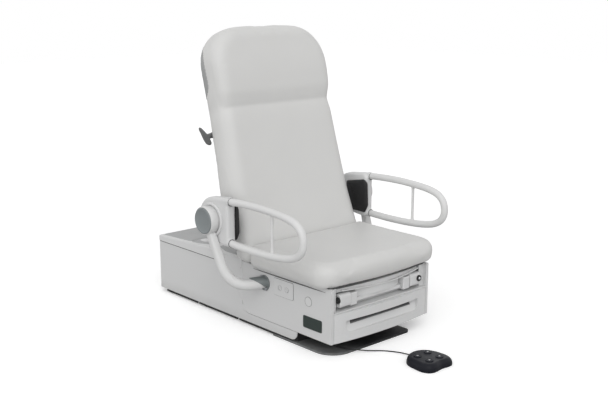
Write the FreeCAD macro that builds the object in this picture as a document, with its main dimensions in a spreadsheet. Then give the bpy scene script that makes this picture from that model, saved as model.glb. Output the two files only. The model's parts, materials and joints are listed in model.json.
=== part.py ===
import FreeCAD, Part
import math
import os
import re

# Powered low-access examination chair: a fixed base box, a chassis lifted by parallel arms,
# a reclining back, two swing-up assist rails, a drawer, a leg extension and two stirrups.
# Millimetres. Front is -Y, the sitter's left is +X, the floor is Z = 0.

doc = FreeCAD.newDocument("ExaminationChair")
sheet = doc.addObject("Spreadsheet::Sheet", "Sizes")
Vector = FreeCAD.Vector
AXES = {"x": Vector(1, 0, 0), "y": Vector(0, 1, 0), "z": Vector(0, 0, 1)}
nodes = {}
# closeness at which two places count as one
NEAR = 1e-3

SIZES = {
    # chassis housing that rises with the seat
    "chassisHalf": 300,
    "chassisFront": 620,
    "chassisRear": 38,
    "chassisBottom": 60,
    "chassisTop": 296,
    "chassisWall": 4,
    "chassisCorner": 50,
    "bezelWide": 15,
    "bezelDeep": 20,
    "shelfZ": 186,
    "shelfThick": 6,
    "seamGap": 2,
    "frontBow": 20,
    # fixed base box
    "boxRear": 621,
    "boxBottom": 19,
    "boxTop": 262,
    "boxWall": 4,
    "stripFront": 410,
    "stripNose": 34,
    "bulkheadHalf": 178,
    "tabThick": 6,
    # lid of the base box
    "lidProud": 1.5,
    "lidRearTop": 290,
    "lidFrontTop": 309,
    "lidFlat": 217,
    "lidWall": 5.5,
    "lidEdge": 7,
    "slotInner": 112,
    "slotOuter": 168,
    "slotRear": 354,
    # foot plate and welded base frame
    "plateThick": 10,
    "plateLeft": 298,
    "plateRight": 186,
    "plateFront": 622,
    "plateRear": 250,
    "tongueHalf": 60,
    "tongueRear": 60,
    "plateLeftCorner": 95,
    "plateRightCorner": 24,
    "railOuter": 284,
    "railWide": 36,
    "railTop": 40,
    "railFront": 400,
    "railRear": 606,
    "crossWide": 36,
    "footRadius": 20,
    "glandX": 210,
    "glandZ": 25,
    # parallel lift arms
    "armLength": 560,
    "armAngle": 12.5,
    "pivotY": 300,
    "pivotZ": 200,
    "linkShiftY": 60,
    "linkShiftZ": 50,
    "standInner": 136,
    "standThick": 8,
    "sideGap": 6,
    "armThick": 12,
    "armDepth": 40,
    "armEye": 24,
    "armTube": 14,
    "linkDepth": 28,
    "linkEye": 18,
    "linkTube": 10,
    "armTieShare": 0.1,
    "linkTieShare": 0.06,
    "pinRadius": 10,
    "linkPin": 8,
    "pinHead": 4,
    "runningGap": 0.05,
    "standFoot": 6,
    # seat frame
    "sideRailInner": 262,
    "sideRailOuter": 292,
    "sideRailZ": 252,
    "sideRailTop": 288,
    "sideRailFront": 598,
    "bridgeFront": 235,
    "bridgeRear": 175,
    "bridgeZ": 240,
    "bridgeThick": 22,
    "rearBeam": 30,
    "rearBeamY": 45,
    "boardThick": 12,
    "boardRear": 158,
    "earInner": 275,
    "earThick": 10,
    "earRadius": 16,
    # seat cushion
    "seatHalf": 355.6,
    "seatThick": 100,
    "seatFront": 656,
    "seatCorner": 90,
    "seatBow": 20,
    "seatRear": 128,
    "seatEdge": 44,
    "seatCrown": 5,
    "creaseGap": 1.5,
    "cushionGap": 0.4,
    # back
    "hingeY": 105,
    "hingeZ": 350,
    "reclineAngle": 15,
    "backFace": 50,
    "backRear": 14,
    "backDepth": 100,
    "backHalfLow": 355,
    "backHalfTop": 339,
    "backTop": 1015,
    "backCorner": 170,
    "backCrownAngle": 4,
    "backRoll": 60,
    "backRearEdge": 20,
    "rollStep": 0.5,
    "rollEnd": 40,
    "wingInner": 308,
    "wingLow": 40,
    "backPin": 8,
    "backBarWide": 10,
    "backBarDeep": 18,
    "backBarTop": 880,
    "notchMargin": 3,
    "shellWall": 3,
    "shellLow": 62,
    "shellHigh": 692,
    "shellShallow": 37,
    "shellDeep": 50,
    "shellBreak": 330,
    "shellSlope": 320,
    "shellFlange": 10,
    "coverLow": 700,
    "coverRise": 45,
    "coverSplit": 35,
    "coverMiddle": 735,
    "coverWall": 3,
    # release levers behind the back
    "leverX": 323,
    "leverAlong": 542,
    "leverReach": 62,
    "leverRise": 42,
    "leverDrop": 36,
    "leverFoot": 28,
    "leverThick": 16,
    "leverBoss": 12,
    "leverSeat": 3,
    # assist arms and rails
    "hubY": 20,
    "hubZ": 509,
    "hubRadius": 62,
    "hubInner": 448,
    "hubWide": 48,
    "capRadius": 57,
    "capGap": 1,
    "capProud": 4,
    "capThick": 8,
    "capTravel": 4,
    "capStem": 8,
    "capStemLong": 20,
    "spindle": 12,
    "armTubeRadius": 22,
    "armBend": 84,
    "armBendHigh": 260,
    "armStart": 474,
    "armKneeY": 62,
    "armKneeZ": 392,
    "armElbowX": 442,
    "armElbowY": 97,
    "armElbowZ": 214,
    "armFootY": 185,
    "armFootZ": 229,
    "flangeRadius": 36,
    "flangeThick": 6,
    "cupRadius": 29,
    "cupLong": 46,
    "boltRadius": 5,
    "boltOffset": 26,
    "housingInner": 400,
    "housingRadius": 98,
    "housingFront": 108,
    "housingHalfHigh": 110,
    "housingCorner": 26,
    "housingEdge": 12,
    "padThick": 12,
    "padFront": 112,
    "padBow": 14,
    "padRear": 20,
    "padUp": 84,
    "padDown": 82,
    "padCorner": 26,
    "railX": 430,
    "railTube": 16,
    "railUpper": 92,
    "railLower": 90,
    "railTip": 574,
    "railArch": 8,
    "railDrop": 8,
    "railBarY": 403,
    "railBar": 6,
    "socketRadius": 19,
    "socketLong": 14,
    "socketProud": 7,
    # drawer
    "drawerBack": 290,
    "drawerHalf": 279,
    "drawerBottom": 66,
    "drawerTop": 178,
    "drawerWall": 3,
    "frontHalf": 283,
    "frontBottom": 60,
    "frontTop": 185,
    "frontThick": 24,
    "handleHalf": 222,
    "handleLow": 98,
    "handleHigh": 150,
    "handleDeep": 20,
    "handleRound": 28,
    "slotHalf": 186,
    "slotLow": 132,
    "slotDeep": 16,
    "slideHigh": 30,
    "slideZ": 110,
    # leg extension
    "extHalf": 134,
    "extWide": 254,
    "extBow": 22,
    "extFront": 612,
    "extRear": 175,
    "extZ": 268,
    "extThick": 15,
    "extFaceLow": 213,
    "extLedge": 228,
    "extFaceDeep": 26,
    "extStep": 8,
    "extGuideGap": 0.3,
    # stirrups
    "stirrupX": 200,
    "stirrupBar": 26,
    "stirrupZ": 209,
    "stirrupRear": 210,
    "stirrupFront": 588,
    "sleeveWall": 4,
    "knuckleInner": 143,
    "knuckleOuter": 181,
    "knuckleLow": 203,
    "knuckleHigh": 258,
    "cupInner": 183,
    "cupOuter": 247,
    "cupLow": 206,
    "cupHigh": 264,
    "cupFront": 620,
    "cupRound": 13,
    "cupPinY": 607,
    "cupGap": 4,
    "cupPinZ": 217,
    "hingePin": 4,
    "knobRadius": 14,
    "knobLong": 7,
    "knobBall": 6,
    "knobX": 234,
    "knobZ": 239,
    "knobStem": 5,
    "knobStemLong": 12,
    # side fittings
    "outletY": 325,
    "outletZ": 232,
    "outletHalfLong": 62,
    "outletHalfHigh": 37,
    "outletThick": 2.5,
    "outletFace": 17,
    "outletPitch": 28,
    "bladeLong": 8,
    "bladeWide": 2,
    "bladeGap": 6.5,
    "earthRadius": 2.5,
    "plugY": 482,
    "plugZ": 214,
    "plugRadius": 20.5,
    "plateY": 508,
    "plateZ": 123,
    "plateHalfLong": 57,
    "plateHalfHigh": 26,
    "plateProud": 1.5,
    "smallCorner": 6,
    # foot control and cord
    "pedalX": 42,
    "pedalY": 923,
    "pedalRadius": 88,
    "pedalHigh": 34,
    "pedalLip": 10,
    "buttonRadius": 17,
    "buttonProud": 3,
    "buttonTravel": 2.5,
    "buttonDeep": 8,
    "buttonRing": 44,
    "cordRadius": 2.5,
    "glandRadius": 6,
    "glandLong": 12,
    "cordGap": 0.3,
    # electrics in the base box
    "controlHalf": 95,
    "controlFront": 450,
    "controlRear": 585,
    "controlHigh": 110,
    "inletX": 205,
    "inletZ": 90,
    "inletHalf": 25,
    "inletHigh": 30,
    # one overrun for all cuts
    "overrun": 30,
}


def fillSheet():
    for row, (alias, number) in enumerate(SIZES.items(), start=1):
        sheet.set("A%d" % row, alias)
        sheet.set("B%d" % row, str(number))
        sheet.setAlias("B%d" % row, alias)
    doc.recompute()


def value(expression):
    return float(sheet.evalExpression(expression))


def point(x, y, z):
    return Vector(value(x), value(y), value(z))


def linked(expression):
    return re.sub(r"[A-Za-z_]\w*", lambda found: "Sizes." + found.group(), expression)


def place(item, x, y, z):
    item.setExpression("Placement.Base.x", linked(x))
    item.setExpression("Placement.Base.y", linked(y))
    item.setExpression("Placement.Base.z", linked(z))


def box(name, x, y, z):
    # each argument is a pair: low expression, high expression
    item = doc.addObject("Part::Box", name)
    for side, (low, high) in zip(("Length", "Width", "Height"), (x, y, z)):
        item.setExpression(side, linked("(%s) - (%s)" % (high, low)))
    place(item, x[0], y[0], z[0])
    return item


def cylinder(name, radius, low, high, axis, across):
    # across is the centre in the two other axes, in x, y, z order
    item = doc.addObject("Part::Cylinder", name)
    item.setExpression("Radius", linked(radius))
    item.setExpression("Height", linked("(%s) - (%s)" % (high, low)))
    turn = FreeCAD.Rotation(AXES["z"], AXES[axis])
    item.Placement = FreeCAD.Placement(Vector(), turn)
    spot = list(across)
    spot.insert("xyz".index(axis), low)
    place(item, *spot)
    return item


def fuse(name, pieces):
    item = doc.addObject("Part::MultiFuse", name)
    item.Shapes = pieces
    item.Refine = True
    return item


def cut(name, base, tools):
    item = doc.addObject("Part::Cut", name)
    item.Base = base
    item.Tool = tools[0] if len(tools) == 1 else fuse(name + "Tools", tools)
    item.Refine = True
    return item


def common(name, first, second):
    item = doc.addObject("Part::Common", name)
    item.Base = first
    item.Tool = second
    return item


def group(name, pieces):
    item = doc.addObject("Part::Compound", name)
    item.Links = pieces
    return item


def rounded(name, base, radius, wanted):
    # wanted(edge) picks the edges that are rounded
    doc.recompute()
    item = doc.addObject("Part::Fillet", name)
    item.Base = base
    size = value(radius)
    chosen = [n for n, edge in enumerate(base.Shape.Edges, start=1) if wanted(edge)]
    item.Edges = [(n, size, size) for n in chosen]
    return item


def feature(name, shape):
    item = doc.addObject("Part::Feature", name)
    item.Shape = shape
    return item


def prism(name, plane, outline, low, high, corners=()):
    # a sketched outline on an origin plane, padded from low to high along the plane's axis
    body = doc.addObject("PartDesign::Body", name)
    sketch = body.newObject("Sketcher::SketchObject", name + "Sketch")
    role = {"x": "YZ_Plane", "y": "XZ_Plane", "z": "XY_Plane"}[plane]
    support = [item for item in body.Origin.OriginFeatures if item.Role == role][0]
    sketch.AttachmentSupport = [(support, "")]
    sketch.MapMode = "FlatFace"
    offset = "-(%s)" % high if plane == "y" else low
    sketch.setExpression("AttachmentOffset.Base.z", linked(offset))
    spots = [Vector(value(a), value(b), 0) for a, b in outline]
    count = len(spots)
    for n in range(count):
        sketch.addGeometry(Part.LineSegment(spots[n], spots[(n + 1) % count]))
    for n in range(count):
        sketch.addConstraint(constraint("Coincident", n, 2, (n + 1) % count, 1))
    for n, (a, b) in enumerate(outline):
        pin(sketch, "DistanceX", n, a)
        pin(sketch, "DistanceY", n, b)
    pad = body.newObject("PartDesign::Pad", name + "Pad")
    pad.Profile = sketch
    pad.setExpression("Length", linked("(%s) - (%s)" % (high, low)))
    doc.recompute()
    for turn, (radius, numbers) in enumerate(corners):
        marks = [Vector(value(outline[n][0]), value(outline[n][1]), 0) for n in numbers]
        roundCorners(body, name + "Round%d" % turn, plane, radius, marks)
    return body


def constraint(kind, *values):
    import Sketcher
    return Sketcher.Constraint(kind, *values)


def pin(sketch, kind, line, expression):
    number = sketch.addConstraint(constraint(kind, -1, 1, line, 1, value(expression)))
    sketch.setExpression("Constraints[%d]" % number, linked(expression))


def flat(plane, spot):
    # the sketch coordinates of a point in space
    return {"x": (spot.y, spot.z), "y": (spot.x, spot.z), "z": (spot.x, spot.y)}[plane]


def roundCorners(body, name, plane, radius, marks):
    tip = body.Tip
    chosen = []
    for n, edge in enumerate(tip.Shape.Edges, start=1):
        ends = [flat(plane, vertex.Point) for vertex in edge.Vertexes]
        if len(ends) != 2 or math.dist(*ends) > 1e-6:
            continue
        if any(math.dist(ends[0], (mark.x, mark.y)) < 1e-4 for mark in marks):
            chosen.append("Edge%d" % n)
    fillet = body.newObject("PartDesign::Fillet", name)
    fillet.Base = (tip, chosen)
    fillet.setExpression("Radius", linked(radius))
    doc.recompute()


def node(name, item, placement=None):
    item.Label = name
    if placement is not None:
        item.Placement = placement
    nodes[name] = item


def mirrored(shape):
    return shape.mirror(Vector(), AXES["x"])


def bentPath(points, radii):
    # straight runs joined by tangent arcs
    edges = []
    start = points[0]
    for n in range(1, len(points) - 1):
        before = (points[n - 1] - points[n]).normalize()
        after = (points[n + 1] - points[n]).normalize()
        turn = math.pi - before.getAngle(after)
        reach = radii[n - 1] * math.tan(turn / 2)
        first = points[n] + before * reach
        last = points[n] + after * reach
        inward = (before + after).normalize()
        centre = points[n] + inward * (radii[n - 1] / math.cos(turn / 2))
        middle = centre - inward * radii[n - 1]
        edges.append(Part.LineSegment(start, first).toShape())
        edges.append(Part.Arc(first, middle, last).toShape())
        start = last
    edges.append(Part.LineSegment(start, points[-1]).toShape())
    return Part.Wire(edges)


def tube(path, radius):
    start = path.OrderedVertexes[0].Point
    direction = path.OrderedEdges[0].tangentAt(path.OrderedEdges[0].FirstParameter)
    ring = Part.Wire(Part.makeCircle(radius, start, direction))
    return path.makePipeShell([ring], True, True)


# base: foot plate, frame, feet and pivot stand
def buildBase():
    plate = prism("FootPlate", "z",
                  [("-plateLeft", "-plateRear"), ("-plateLeft", "-plateFront"),
                   ("plateRight", "-plateFront"), ("plateRight", "-plateRear"),
                   ("tongueHalf", "-plateRear"), ("tongueHalf", "tongueRear"),
                   ("-tongueHalf", "tongueRear"), ("-tongueHalf", "-plateRear")],
                  "0", "plateThick",
                  [("plateLeftCorner", [1]), ("plateRightCorner", [2]), ("plateRightCorner", [4, 7])])
    node("foot_plate", plate)
    rails = []
    for side, sign in (("Left", "-"), ("Right", "")):
        low, high = ("-railOuter", "-railOuter + railWide") if sign else ("railOuter - railWide", "railOuter")
        rails.append(box("Rail" + side, (low, high), ("-railFront", "railRear"), ("plateThick", "railTop")))
    for name, where in crossMembers():
        rails.append(box("Cross" + name, ("-railOuter + railWide", "railOuter - railWide"),
                         (where, where + " + crossWide"), ("plateThick", "railTop")))
    for side in ("-", ""):
        for end in ("-railFront + crossWide", "-chassisRear + crossWide", "railRear - crossWide"):
            low, high = ("railOuter", "chassisHalf - boxWall") if not side else ("-chassisHalf + boxWall", "-railOuter")
            rails.append(box("Tab", (low, high), (end + " - crossWide / 2", end + " + crossWide / 2"),
                             ("railTop - tabThick * 2", "railTop")))
    rails.append(cylinder("CordGland", "glandRadius", "-railFront - glandLong", "-railFront", "y",
                          ("-glandX", "glandZ")))
    bore = cylinder("CordBore", "cordRadius + cordGap", "-railFront - overrun", "-railFront - seamGap", "y",
                    ("-glandX", "glandZ"))
    node("base_frame", cut("BaseFrame", fuse("BaseRails", rails), [bore]))
    feet = []
    for x in ("-railOuter + railWide / 2", "railOuter - railWide / 2"):
        for y in ("railRear - crossWide", "pivotY - crossWide"):
            feet.append(cylinder("Foot", "footRadius", "0", "plateThick", "z", (x, y)))
    node("levelling_feet", group("LevellingFeet", feet))
    stands = []
    for sign in ("-", ""):
        stands.append(standPlate(sign))
    node("pivot_stand", group("PivotStand", stands))


def crossMembers():
    return [("Front", "-railFront"), ("Middle", "-plateRear - crossWide * 2"),
            ("Pivot", "pivotY - crossWide / 2"), ("Link", "pivotY + linkShiftY + crossWide / 2"),
            ("Rear", "railRear - crossWide")]


def spanX(sign, inner, outer):
    # the same span on the left (sign "-") or the right of the centre plane
    return ("-(%s)" % outer, "-(%s)" % inner) if sign else (inner, outer)


def standPlate(sign):
    low, high = spanX(sign, "standInner", "standInner + standThick")
    outline = [("pivotY - armEye - standFoot", "railTop"), ("pivotY + linkShiftY + crossWide * 1.5", "railTop"),
               ("pivotY + linkShiftY + armEye", "pivotZ + linkShiftZ"),
               ("pivotY + linkShiftY + linkEye", "pivotZ + linkShiftZ + linkEye"),
               ("pivotY + linkShiftY - linkEye", "pivotZ + linkShiftZ + linkEye"),
               ("pivotY - armEye", "pivotZ + armEye"), ("pivotY - armEye", "pivotZ - armEye")]
    plate = prism("StandPlate", "x", outline, low, high, [("linkEye / 2", [2, 3, 4, 5])])
    holes = [cylinder("StandHole", "pinRadius", low + " - overrun", high + " + overrun", "x", ("pivotY", "pivotZ")),
             cylinder("StandHole", "linkPin", low + " - overrun", high + " + overrun", "x",
                      ("pivotY + linkShiftY", "pivotZ + linkShiftZ"))]
    return cut("Stand", plate, holes)


def armEnds():
    # pivots of the lower arm and the upper link at the chassis, as (y, z)
    angle = math.radians(value("armAngle"))
    reach = value("armLength")
    y = value("pivotY") - reach * math.cos(angle)
    z = value("pivotZ") - reach * math.sin(angle)
    return (y, z), (y + value("linkShiftY"), z + value("linkShiftZ"))


def bar(inner, thick, start, end, depth, eye, bore):
    # flat bar with round eyes at both ends, lying in a plane across X
    first = Vector(inner, *start)
    last = Vector(inner, *end)
    along = (last - first).normalize()
    across = AXES["x"].cross(along) * (depth / 2)
    wire = Part.makePolygon([first + across, last + across, last - across, first - across, first + across])
    solid = Part.Face(wire).extrude(AXES["x"] * thick)
    for spot in (first, last):
        solid = solid.fuse(Part.makeCylinder(eye, thick, spot, AXES["x"]))
    for spot in (first, last):
        solid = solid.cut(Part.makeCylinder(bore, thick, spot, AXES["x"]))
    return solid.removeSplitter()


def buildArms():
    lower, upper = armEnds()
    start = (value("pivotY"), value("pivotZ"))
    linkStart = (value("pivotY + linkShiftY"), value("pivotZ + linkShiftZ"))
    thick = value("armThick")
    inner = value("standInner + standThick + sideGap")
    arm = bar(inner, thick, start, lower, value("armDepth"), value("armEye"), value("pinRadius + runningGap"))
    node("lift_arm", feature("LiftArm", welded(arm, inner, start, lower, value("armTube"), value("armTieShare"))))
    inner = value("standInner - sideGap - armThick")
    link = bar(inner, thick, linkStart, upper, value("linkDepth"), value("linkEye"), value("linkPin + runningGap"))
    node("lift_link", feature("LiftLink", welded(link, inner, linkStart, upper, value("linkTube"), value("linkTieShare"))))


def welded(solid, inner, start, end, radius, share):
    # both side bars and the cross tube between them
    spot = Vector(-inner, start[0] + (end[0] - start[0]) * share, start[1] + (end[1] - start[1]) * share)
    cross = Part.makeCylinder(radius, 2 * inner, spot, AXES["x"])
    return solid.fuse([mirrored(solid), cross]).removeSplitter()


def pivotPins(name, lower, upper):
    # headed pins through the stand or yoke plates; lower and upper are (y, z)
    solids = []
    head = value("pinHead")
    inner = value("standInner - sideGap - armThick - runningGap * 10")
    outer = value("standInner + standThick + sideGap + armThick + runningGap * 10")
    plate = value("standInner")
    first = Part.makeCylinder(value("pinRadius"), outer - plate, Vector(plate, *lower), AXES["x"])
    first = first.fuse(Part.makeCylinder(value("pinRadius + pinHead"), head, Vector(outer, *lower), AXES["x"]))
    reach = value("standInner + standThick") - inner
    second = Part.makeCylinder(value("linkPin"), reach, Vector(inner, *upper), AXES["x"])
    second = second.fuse(Part.makeCylinder(value("linkPin + pinHead"), head, Vector(inner - head, *upper), AXES["x"]))
    for solid in (first, second):
        solids.append(solid)
        solids.append(mirrored(solid))
    node(name, feature(name, Part.makeCompound(solids)))


def buildPins():
    lower, upper = armEnds()
    pivotPins("base_pivot_pins", (value("pivotY"), value("pivotZ")),
              (value("pivotY + linkShiftY"), value("pivotZ + linkShiftZ")))
    pivotPins("yoke_pivot_pins", lower, upper)


def buildYoke():
    lower, upper = armEnds()
    inner = value("standInner")
    thick = value("standThick")
    eye = value("armEye")
    top = value("bridgeZ")
    spots = [(-value("bridgeFront"), top), (-value("bridgeRear"), top),
             (upper[0] + value("linkEye"), upper[1]), (upper[0], upper[1] - value("linkEye")),
             (lower[0] + eye, lower[1] - eye / 2), (lower[0], lower[1] - eye),
             (lower[0] - eye, lower[1])]
    corners = [Vector(inner, y, z) for y, z in spots]
    plate = Part.Face(Part.makePolygon(corners + corners[:1])).extrude(AXES["x"] * thick)
    for spot, radius in ((lower, eye), (upper, value("linkEye"))):
        plate = plate.fuse(Part.makeCylinder(radius, thick, Vector(inner, *spot), AXES["x"]))
    for spot, radius in ((lower, value("pinRadius")), (upper, value("linkPin"))):
        plate = plate.cut(Part.makeCylinder(radius, thick, Vector(inner, *spot), AXES["x"]))
    plate = plate.removeSplitter()
    node("lift_yoke", feature("LiftYoke", Part.makeCompound([plate, mirrored(plate)])))


# fixed box: side skirts, rear wall, bulkhead and lid
def buildShroud():
    outline = [("boxRear", "boxBottom"), ("boxRear", "boxTop"), ("-chassisRear + seamGap", "boxTop"),
               ("-chassisRear + seamGap", "chassisBottom - seamGap"), ("-stripFront", "chassisBottom - seamGap"),
               ("-stripFront", "boxBottom")]
    outer = prism("ShroudOuter", "x", outline, "-chassisHalf", "chassisHalf",
                  [("chassisCorner + seamGap", [3]), ("stripNose", [5])])
    inner = box("ShroudInner", ("-chassisHalf + boxWall", "chassisHalf - boxWall"),
                ("-stripFront - overrun", "boxRear - boxWall"), ("-overrun", "boxTop + overrun"))
    socket = box("InletHole", ("inletX - inletHalf", "inletX + inletHalf"), ("boxRear - overrun", "boxRear + overrun"),
                 ("inletZ - inletHigh", "inletZ + inletHigh"))
    skirt = cut("ShroudSkirt", outer, [inner, socket])
    walls = [skirt]
    for sign in ("-", ""):
        walls.append(box("Bulkhead", spanX(sign, "bulkheadHalf", "chassisHalf - boxWall"),
                         ("-chassisRear + seamGap", "-chassisRear + seamGap + boxWall"),
                         ("chassisBottom + chassisCorner", "boxTop")))
    node("base_shroud", fuse("BaseShroud", walls))


def buildLid():
    outer = prism("LidOuter", "x",
                  [("boxRear + lidProud", "boxTop"), ("boxRear + lidProud", "lidRearTop"), ("lidFlat", "lidFrontTop"),
                   ("-chassisRear + seamGap", "lidFrontTop"), ("-chassisRear + seamGap", "boxTop")],
                  "-chassisHalf - lidProud", "chassisHalf + lidProud")
    top = value("lidRearTop") - value("lidEdge")
    soft = rounded("LidRounded", outer, "lidEdge", lambda edge: lidEdgePicked(edge, top))
    hollow = prism("LidHollow", "x",
                   [("boxRear + lidProud - lidWall", "boxTop - overrun"),
                    ("boxRear + lidProud - lidWall", "lidRearTop - lidWall"), ("lidFlat", "lidFrontTop - lidWall"),
                    ("-chassisRear + seamGap + lidWall", "lidFrontTop - lidWall"),
                    ("-chassisRear + seamGap + lidWall", "boxTop - overrun")],
                   "-chassisHalf - lidProud + lidWall", "chassisHalf + lidProud - lidWall")
    tools = [hollow]
    for sign in ("-", ""):
        tools.append(box("LidSlot", spanX(sign, "slotInner", "slotOuter"), ("-chassisRear - overrun", "slotRear"),
                         ("boxTop - overrun", "lidFrontTop + overrun")))
    node("rear_lid", cut("RearLid", soft, tools))


def lidEdgePicked(edge, top):
    # the upper rim along both sides and the rear
    if edge.BoundBox.ZMin < top:
        return False
    side = min(abs(abs(vertex.X) - value("chassisHalf + lidProud")) for vertex in edge.Vertexes) < 1e-6
    rear = edge.BoundBox.YMin > value("boxRear")
    along = edge.BoundBox.XLength < 1e-6
    return (side and along) or rear


# chassis shell: two side walls, the front bezel and the shelf over the drawer
def buildChassis():
    outline = [("-chassisRear", "chassisTop"), ("-chassisRear", "chassisBottom"), ("-chassisFront", "chassisBottom"),
               ("-chassisFront", "chassisTop")]
    outer = prism("ChassisOuter", "x", outline, "-chassisHalf", "chassisHalf", [("chassisCorner", [1])])
    inner = box("ChassisInner", ("-chassisHalf + chassisWall", "chassisHalf - chassisWall"),
                ("-chassisFront + bezelDeep", "overrun"), ("-overrun", "chassisTop + overrun"))
    window = box("ChassisWindow", ("-chassisHalf + bezelWide", "chassisHalf - bezelWide"),
                 ("-chassisFront - overrun", "overrun"), ("-overrun", "chassisTop + overrun"))
    outlet = box("OutletHole", ("-chassisHalf - overrun", "-chassisHalf + overrun"),
                 ("-outletY - outletHalfLong + smallCorner", "-outletY + outletHalfLong - smallCorner"),
                 ("outletZ - outletHalfHigh + smallCorner", "outletZ + outletHalfHigh - smallCorner"))
    plug = cylinder("PlugHole", "plugRadius", "-chassisHalf - overrun", "-chassisHalf + overrun", "x",
                    ("-plugY", "plugZ"))
    walls = cut("ChassisWalls", outer, [inner, window, outlet, plug])
    shelf = box("ChassisShelf", ("-chassisHalf + chassisWall", "chassisHalf - chassisWall"),
                ("-chassisFront + bezelDeep", "-drawerBack"), ("shelfZ", "shelfZ + shelfThick"))
    nose = box("ChassisNose", ("-chassisHalf + bezelWide", "chassisHalf - bezelWide"),
               ("-chassisFront", "-chassisFront + bezelDeep"), ("shelfZ", "shelfZ + shelfThick"))
    node("chassis_shell", fuse("ChassisShell", [walls, shelf, nose]))


def buildSeatFrame():
    pieces = []
    for sign in ("-", ""):
        pieces.append(box("SideRail", spanX(sign, "sideRailInner", "sideRailOuter"),
                          ("-sideRailFront", "-rearBeamY"), ("sideRailZ", "sideRailTop")))
        pieces.append(box("WallTab", spanX(sign, "sideRailOuter", "chassisHalf - chassisWall"),
                          ("-bridgeFront", "-bridgeRear"), ("sideRailZ", "sideRailTop")))
        pieces.append(hingeEar(sign))
    pieces.append(box("Bridge", ("-sideRailOuter", "sideRailOuter"), ("-bridgeFront", "-bridgeRear"),
                      ("bridgeZ", "bridgeZ + bridgeThick")))
    pieces.append(box("RearBeam", ("-sideRailOuter", "sideRailOuter"), ("-rearBeamY - rearBeam", "-rearBeamY"),
                      ("sideRailZ", "sideRailTop")))
    node("seat_frame", fuse("SeatFrame", pieces))
    board = box("SeatBoard", ("-sideRailOuter", "sideRailOuter"), ("-sideRailFront", "-boardRear"),
                ("sideRailTop", "sideRailTop + boardThick"))
    node("seat_board", board)


def hingeEar(sign):
    low, high = spanX(sign, "earInner", "earInner + earThick")
    plate = prism("EarPlate", "x",
                  [("-rearBeamY - rearBeam", "sideRailTop"), ("-rearBeamY", "sideRailTop"),
                   ("-hingeY + earRadius", "hingeZ"), ("-hingeY - earRadius", "hingeZ")], low, high)
    round_ = cylinder("EarRound", "earRadius", low, high, "x", ("-hingeY", "hingeZ"))
    hole = cylinder("EarHole", "backPin + runningGap", low + " - overrun", high + " + overrun", "x",
                    ("-hingeY", "hingeZ"))
    return cut("Ear", fuse("EarSolid", [plate, round_]), [hole])


def buildSeatCushion():
    front = value("seatFront - seatBow")
    half = value("seatHalf")
    rear = value("seatRear")
    low = value("sideRailTop + boardThick")
    thick = value("seatThick")
    corner = value("seatCorner")
    spots = [Vector(-half, -rear, low), Vector(half, -rear, low), Vector(half, -front, low), Vector(-half, -front, low)]
    nose = Vector(0, -front - value("seatBow"), low)
    edges = [Part.LineSegment(spots[0], spots[1]).toShape(), Part.LineSegment(spots[1], spots[2]).toShape(),
             Part.Arc(spots[2], nose, spots[3]).toShape(), Part.LineSegment(spots[3], spots[0]).toShape()]
    pad = Part.Face(Part.Wire(edges)).extrude(AXES["z"] * thick)
    upright = [edge for edge in pad.Edges if edge.BoundBox.ZLength > thick / 2 and edge.BoundBox.YMax < -front + NEAR]
    pad = pad.makeFillet(corner, upright)
    rims = [edge for edge in pad.Edges if edge.BoundBox.ZLength < NEAR and edge.BoundBox.YMin < -rear - NEAR]
    pad = pad.makeFillet(value("seatEdge"), rims)
    # the rear is hollowed round the back's hinge line
    hinge = point("-seatHalf * 2", "-hingeY", "hingeZ")
    groove = value("backFace + creaseGap")
    pad = pad.cut(Part.makeCylinder(groove, 4 * half, hinge, AXES["x"]))
    pad = pad.cut(Part.makeBox(4 * half, half, half, hinge - Vector(0, groove, 0)))
    node("seat_cushion", feature("SeatCushion", pad))


# back, modelled lying flat with its hinge at the origin, then leaned to the rest angle
def backPlace():
    tilt = FreeCAD.Rotation(AXES["x"], 90 - value("reclineAngle"))
    return FreeCAD.Placement(point("0", "-hingeY", "hingeZ"), tilt)


# the back's front profile: shares of its length, and of the roll's radius above the hinge plane
FACE_SHARES = [(0, 1), (0.064, 0.84), (0.163, 0.64), (0.285, 0.53), (0.4, 0.5), (0.53, 0.5), (0.6, 0.46),
               (0.634, 0.4), (0.67, 0.5), (0.74, 0.66), (0.83, 0.72), (0.92, 0.68), (1, 0.56)]
# how far the sides have still to draw in, as shares of the straight length and of the taper
SIDE_SHARES = [(0, 1), (0.34, 0.69), (0.57, 0.2), (0.72, 0), (1, 0)]


def smooth(spots, start=None, end=None):
    # a curve through the points, with the end directions where they are given
    curve = Part.BSplineCurve()
    if start is None:
        curve.interpolate(spots)
    else:
        curve.interpolate(Points=spots, InitialTangent=start, FinalTangent=end)
    return curve.toShape()


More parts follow.
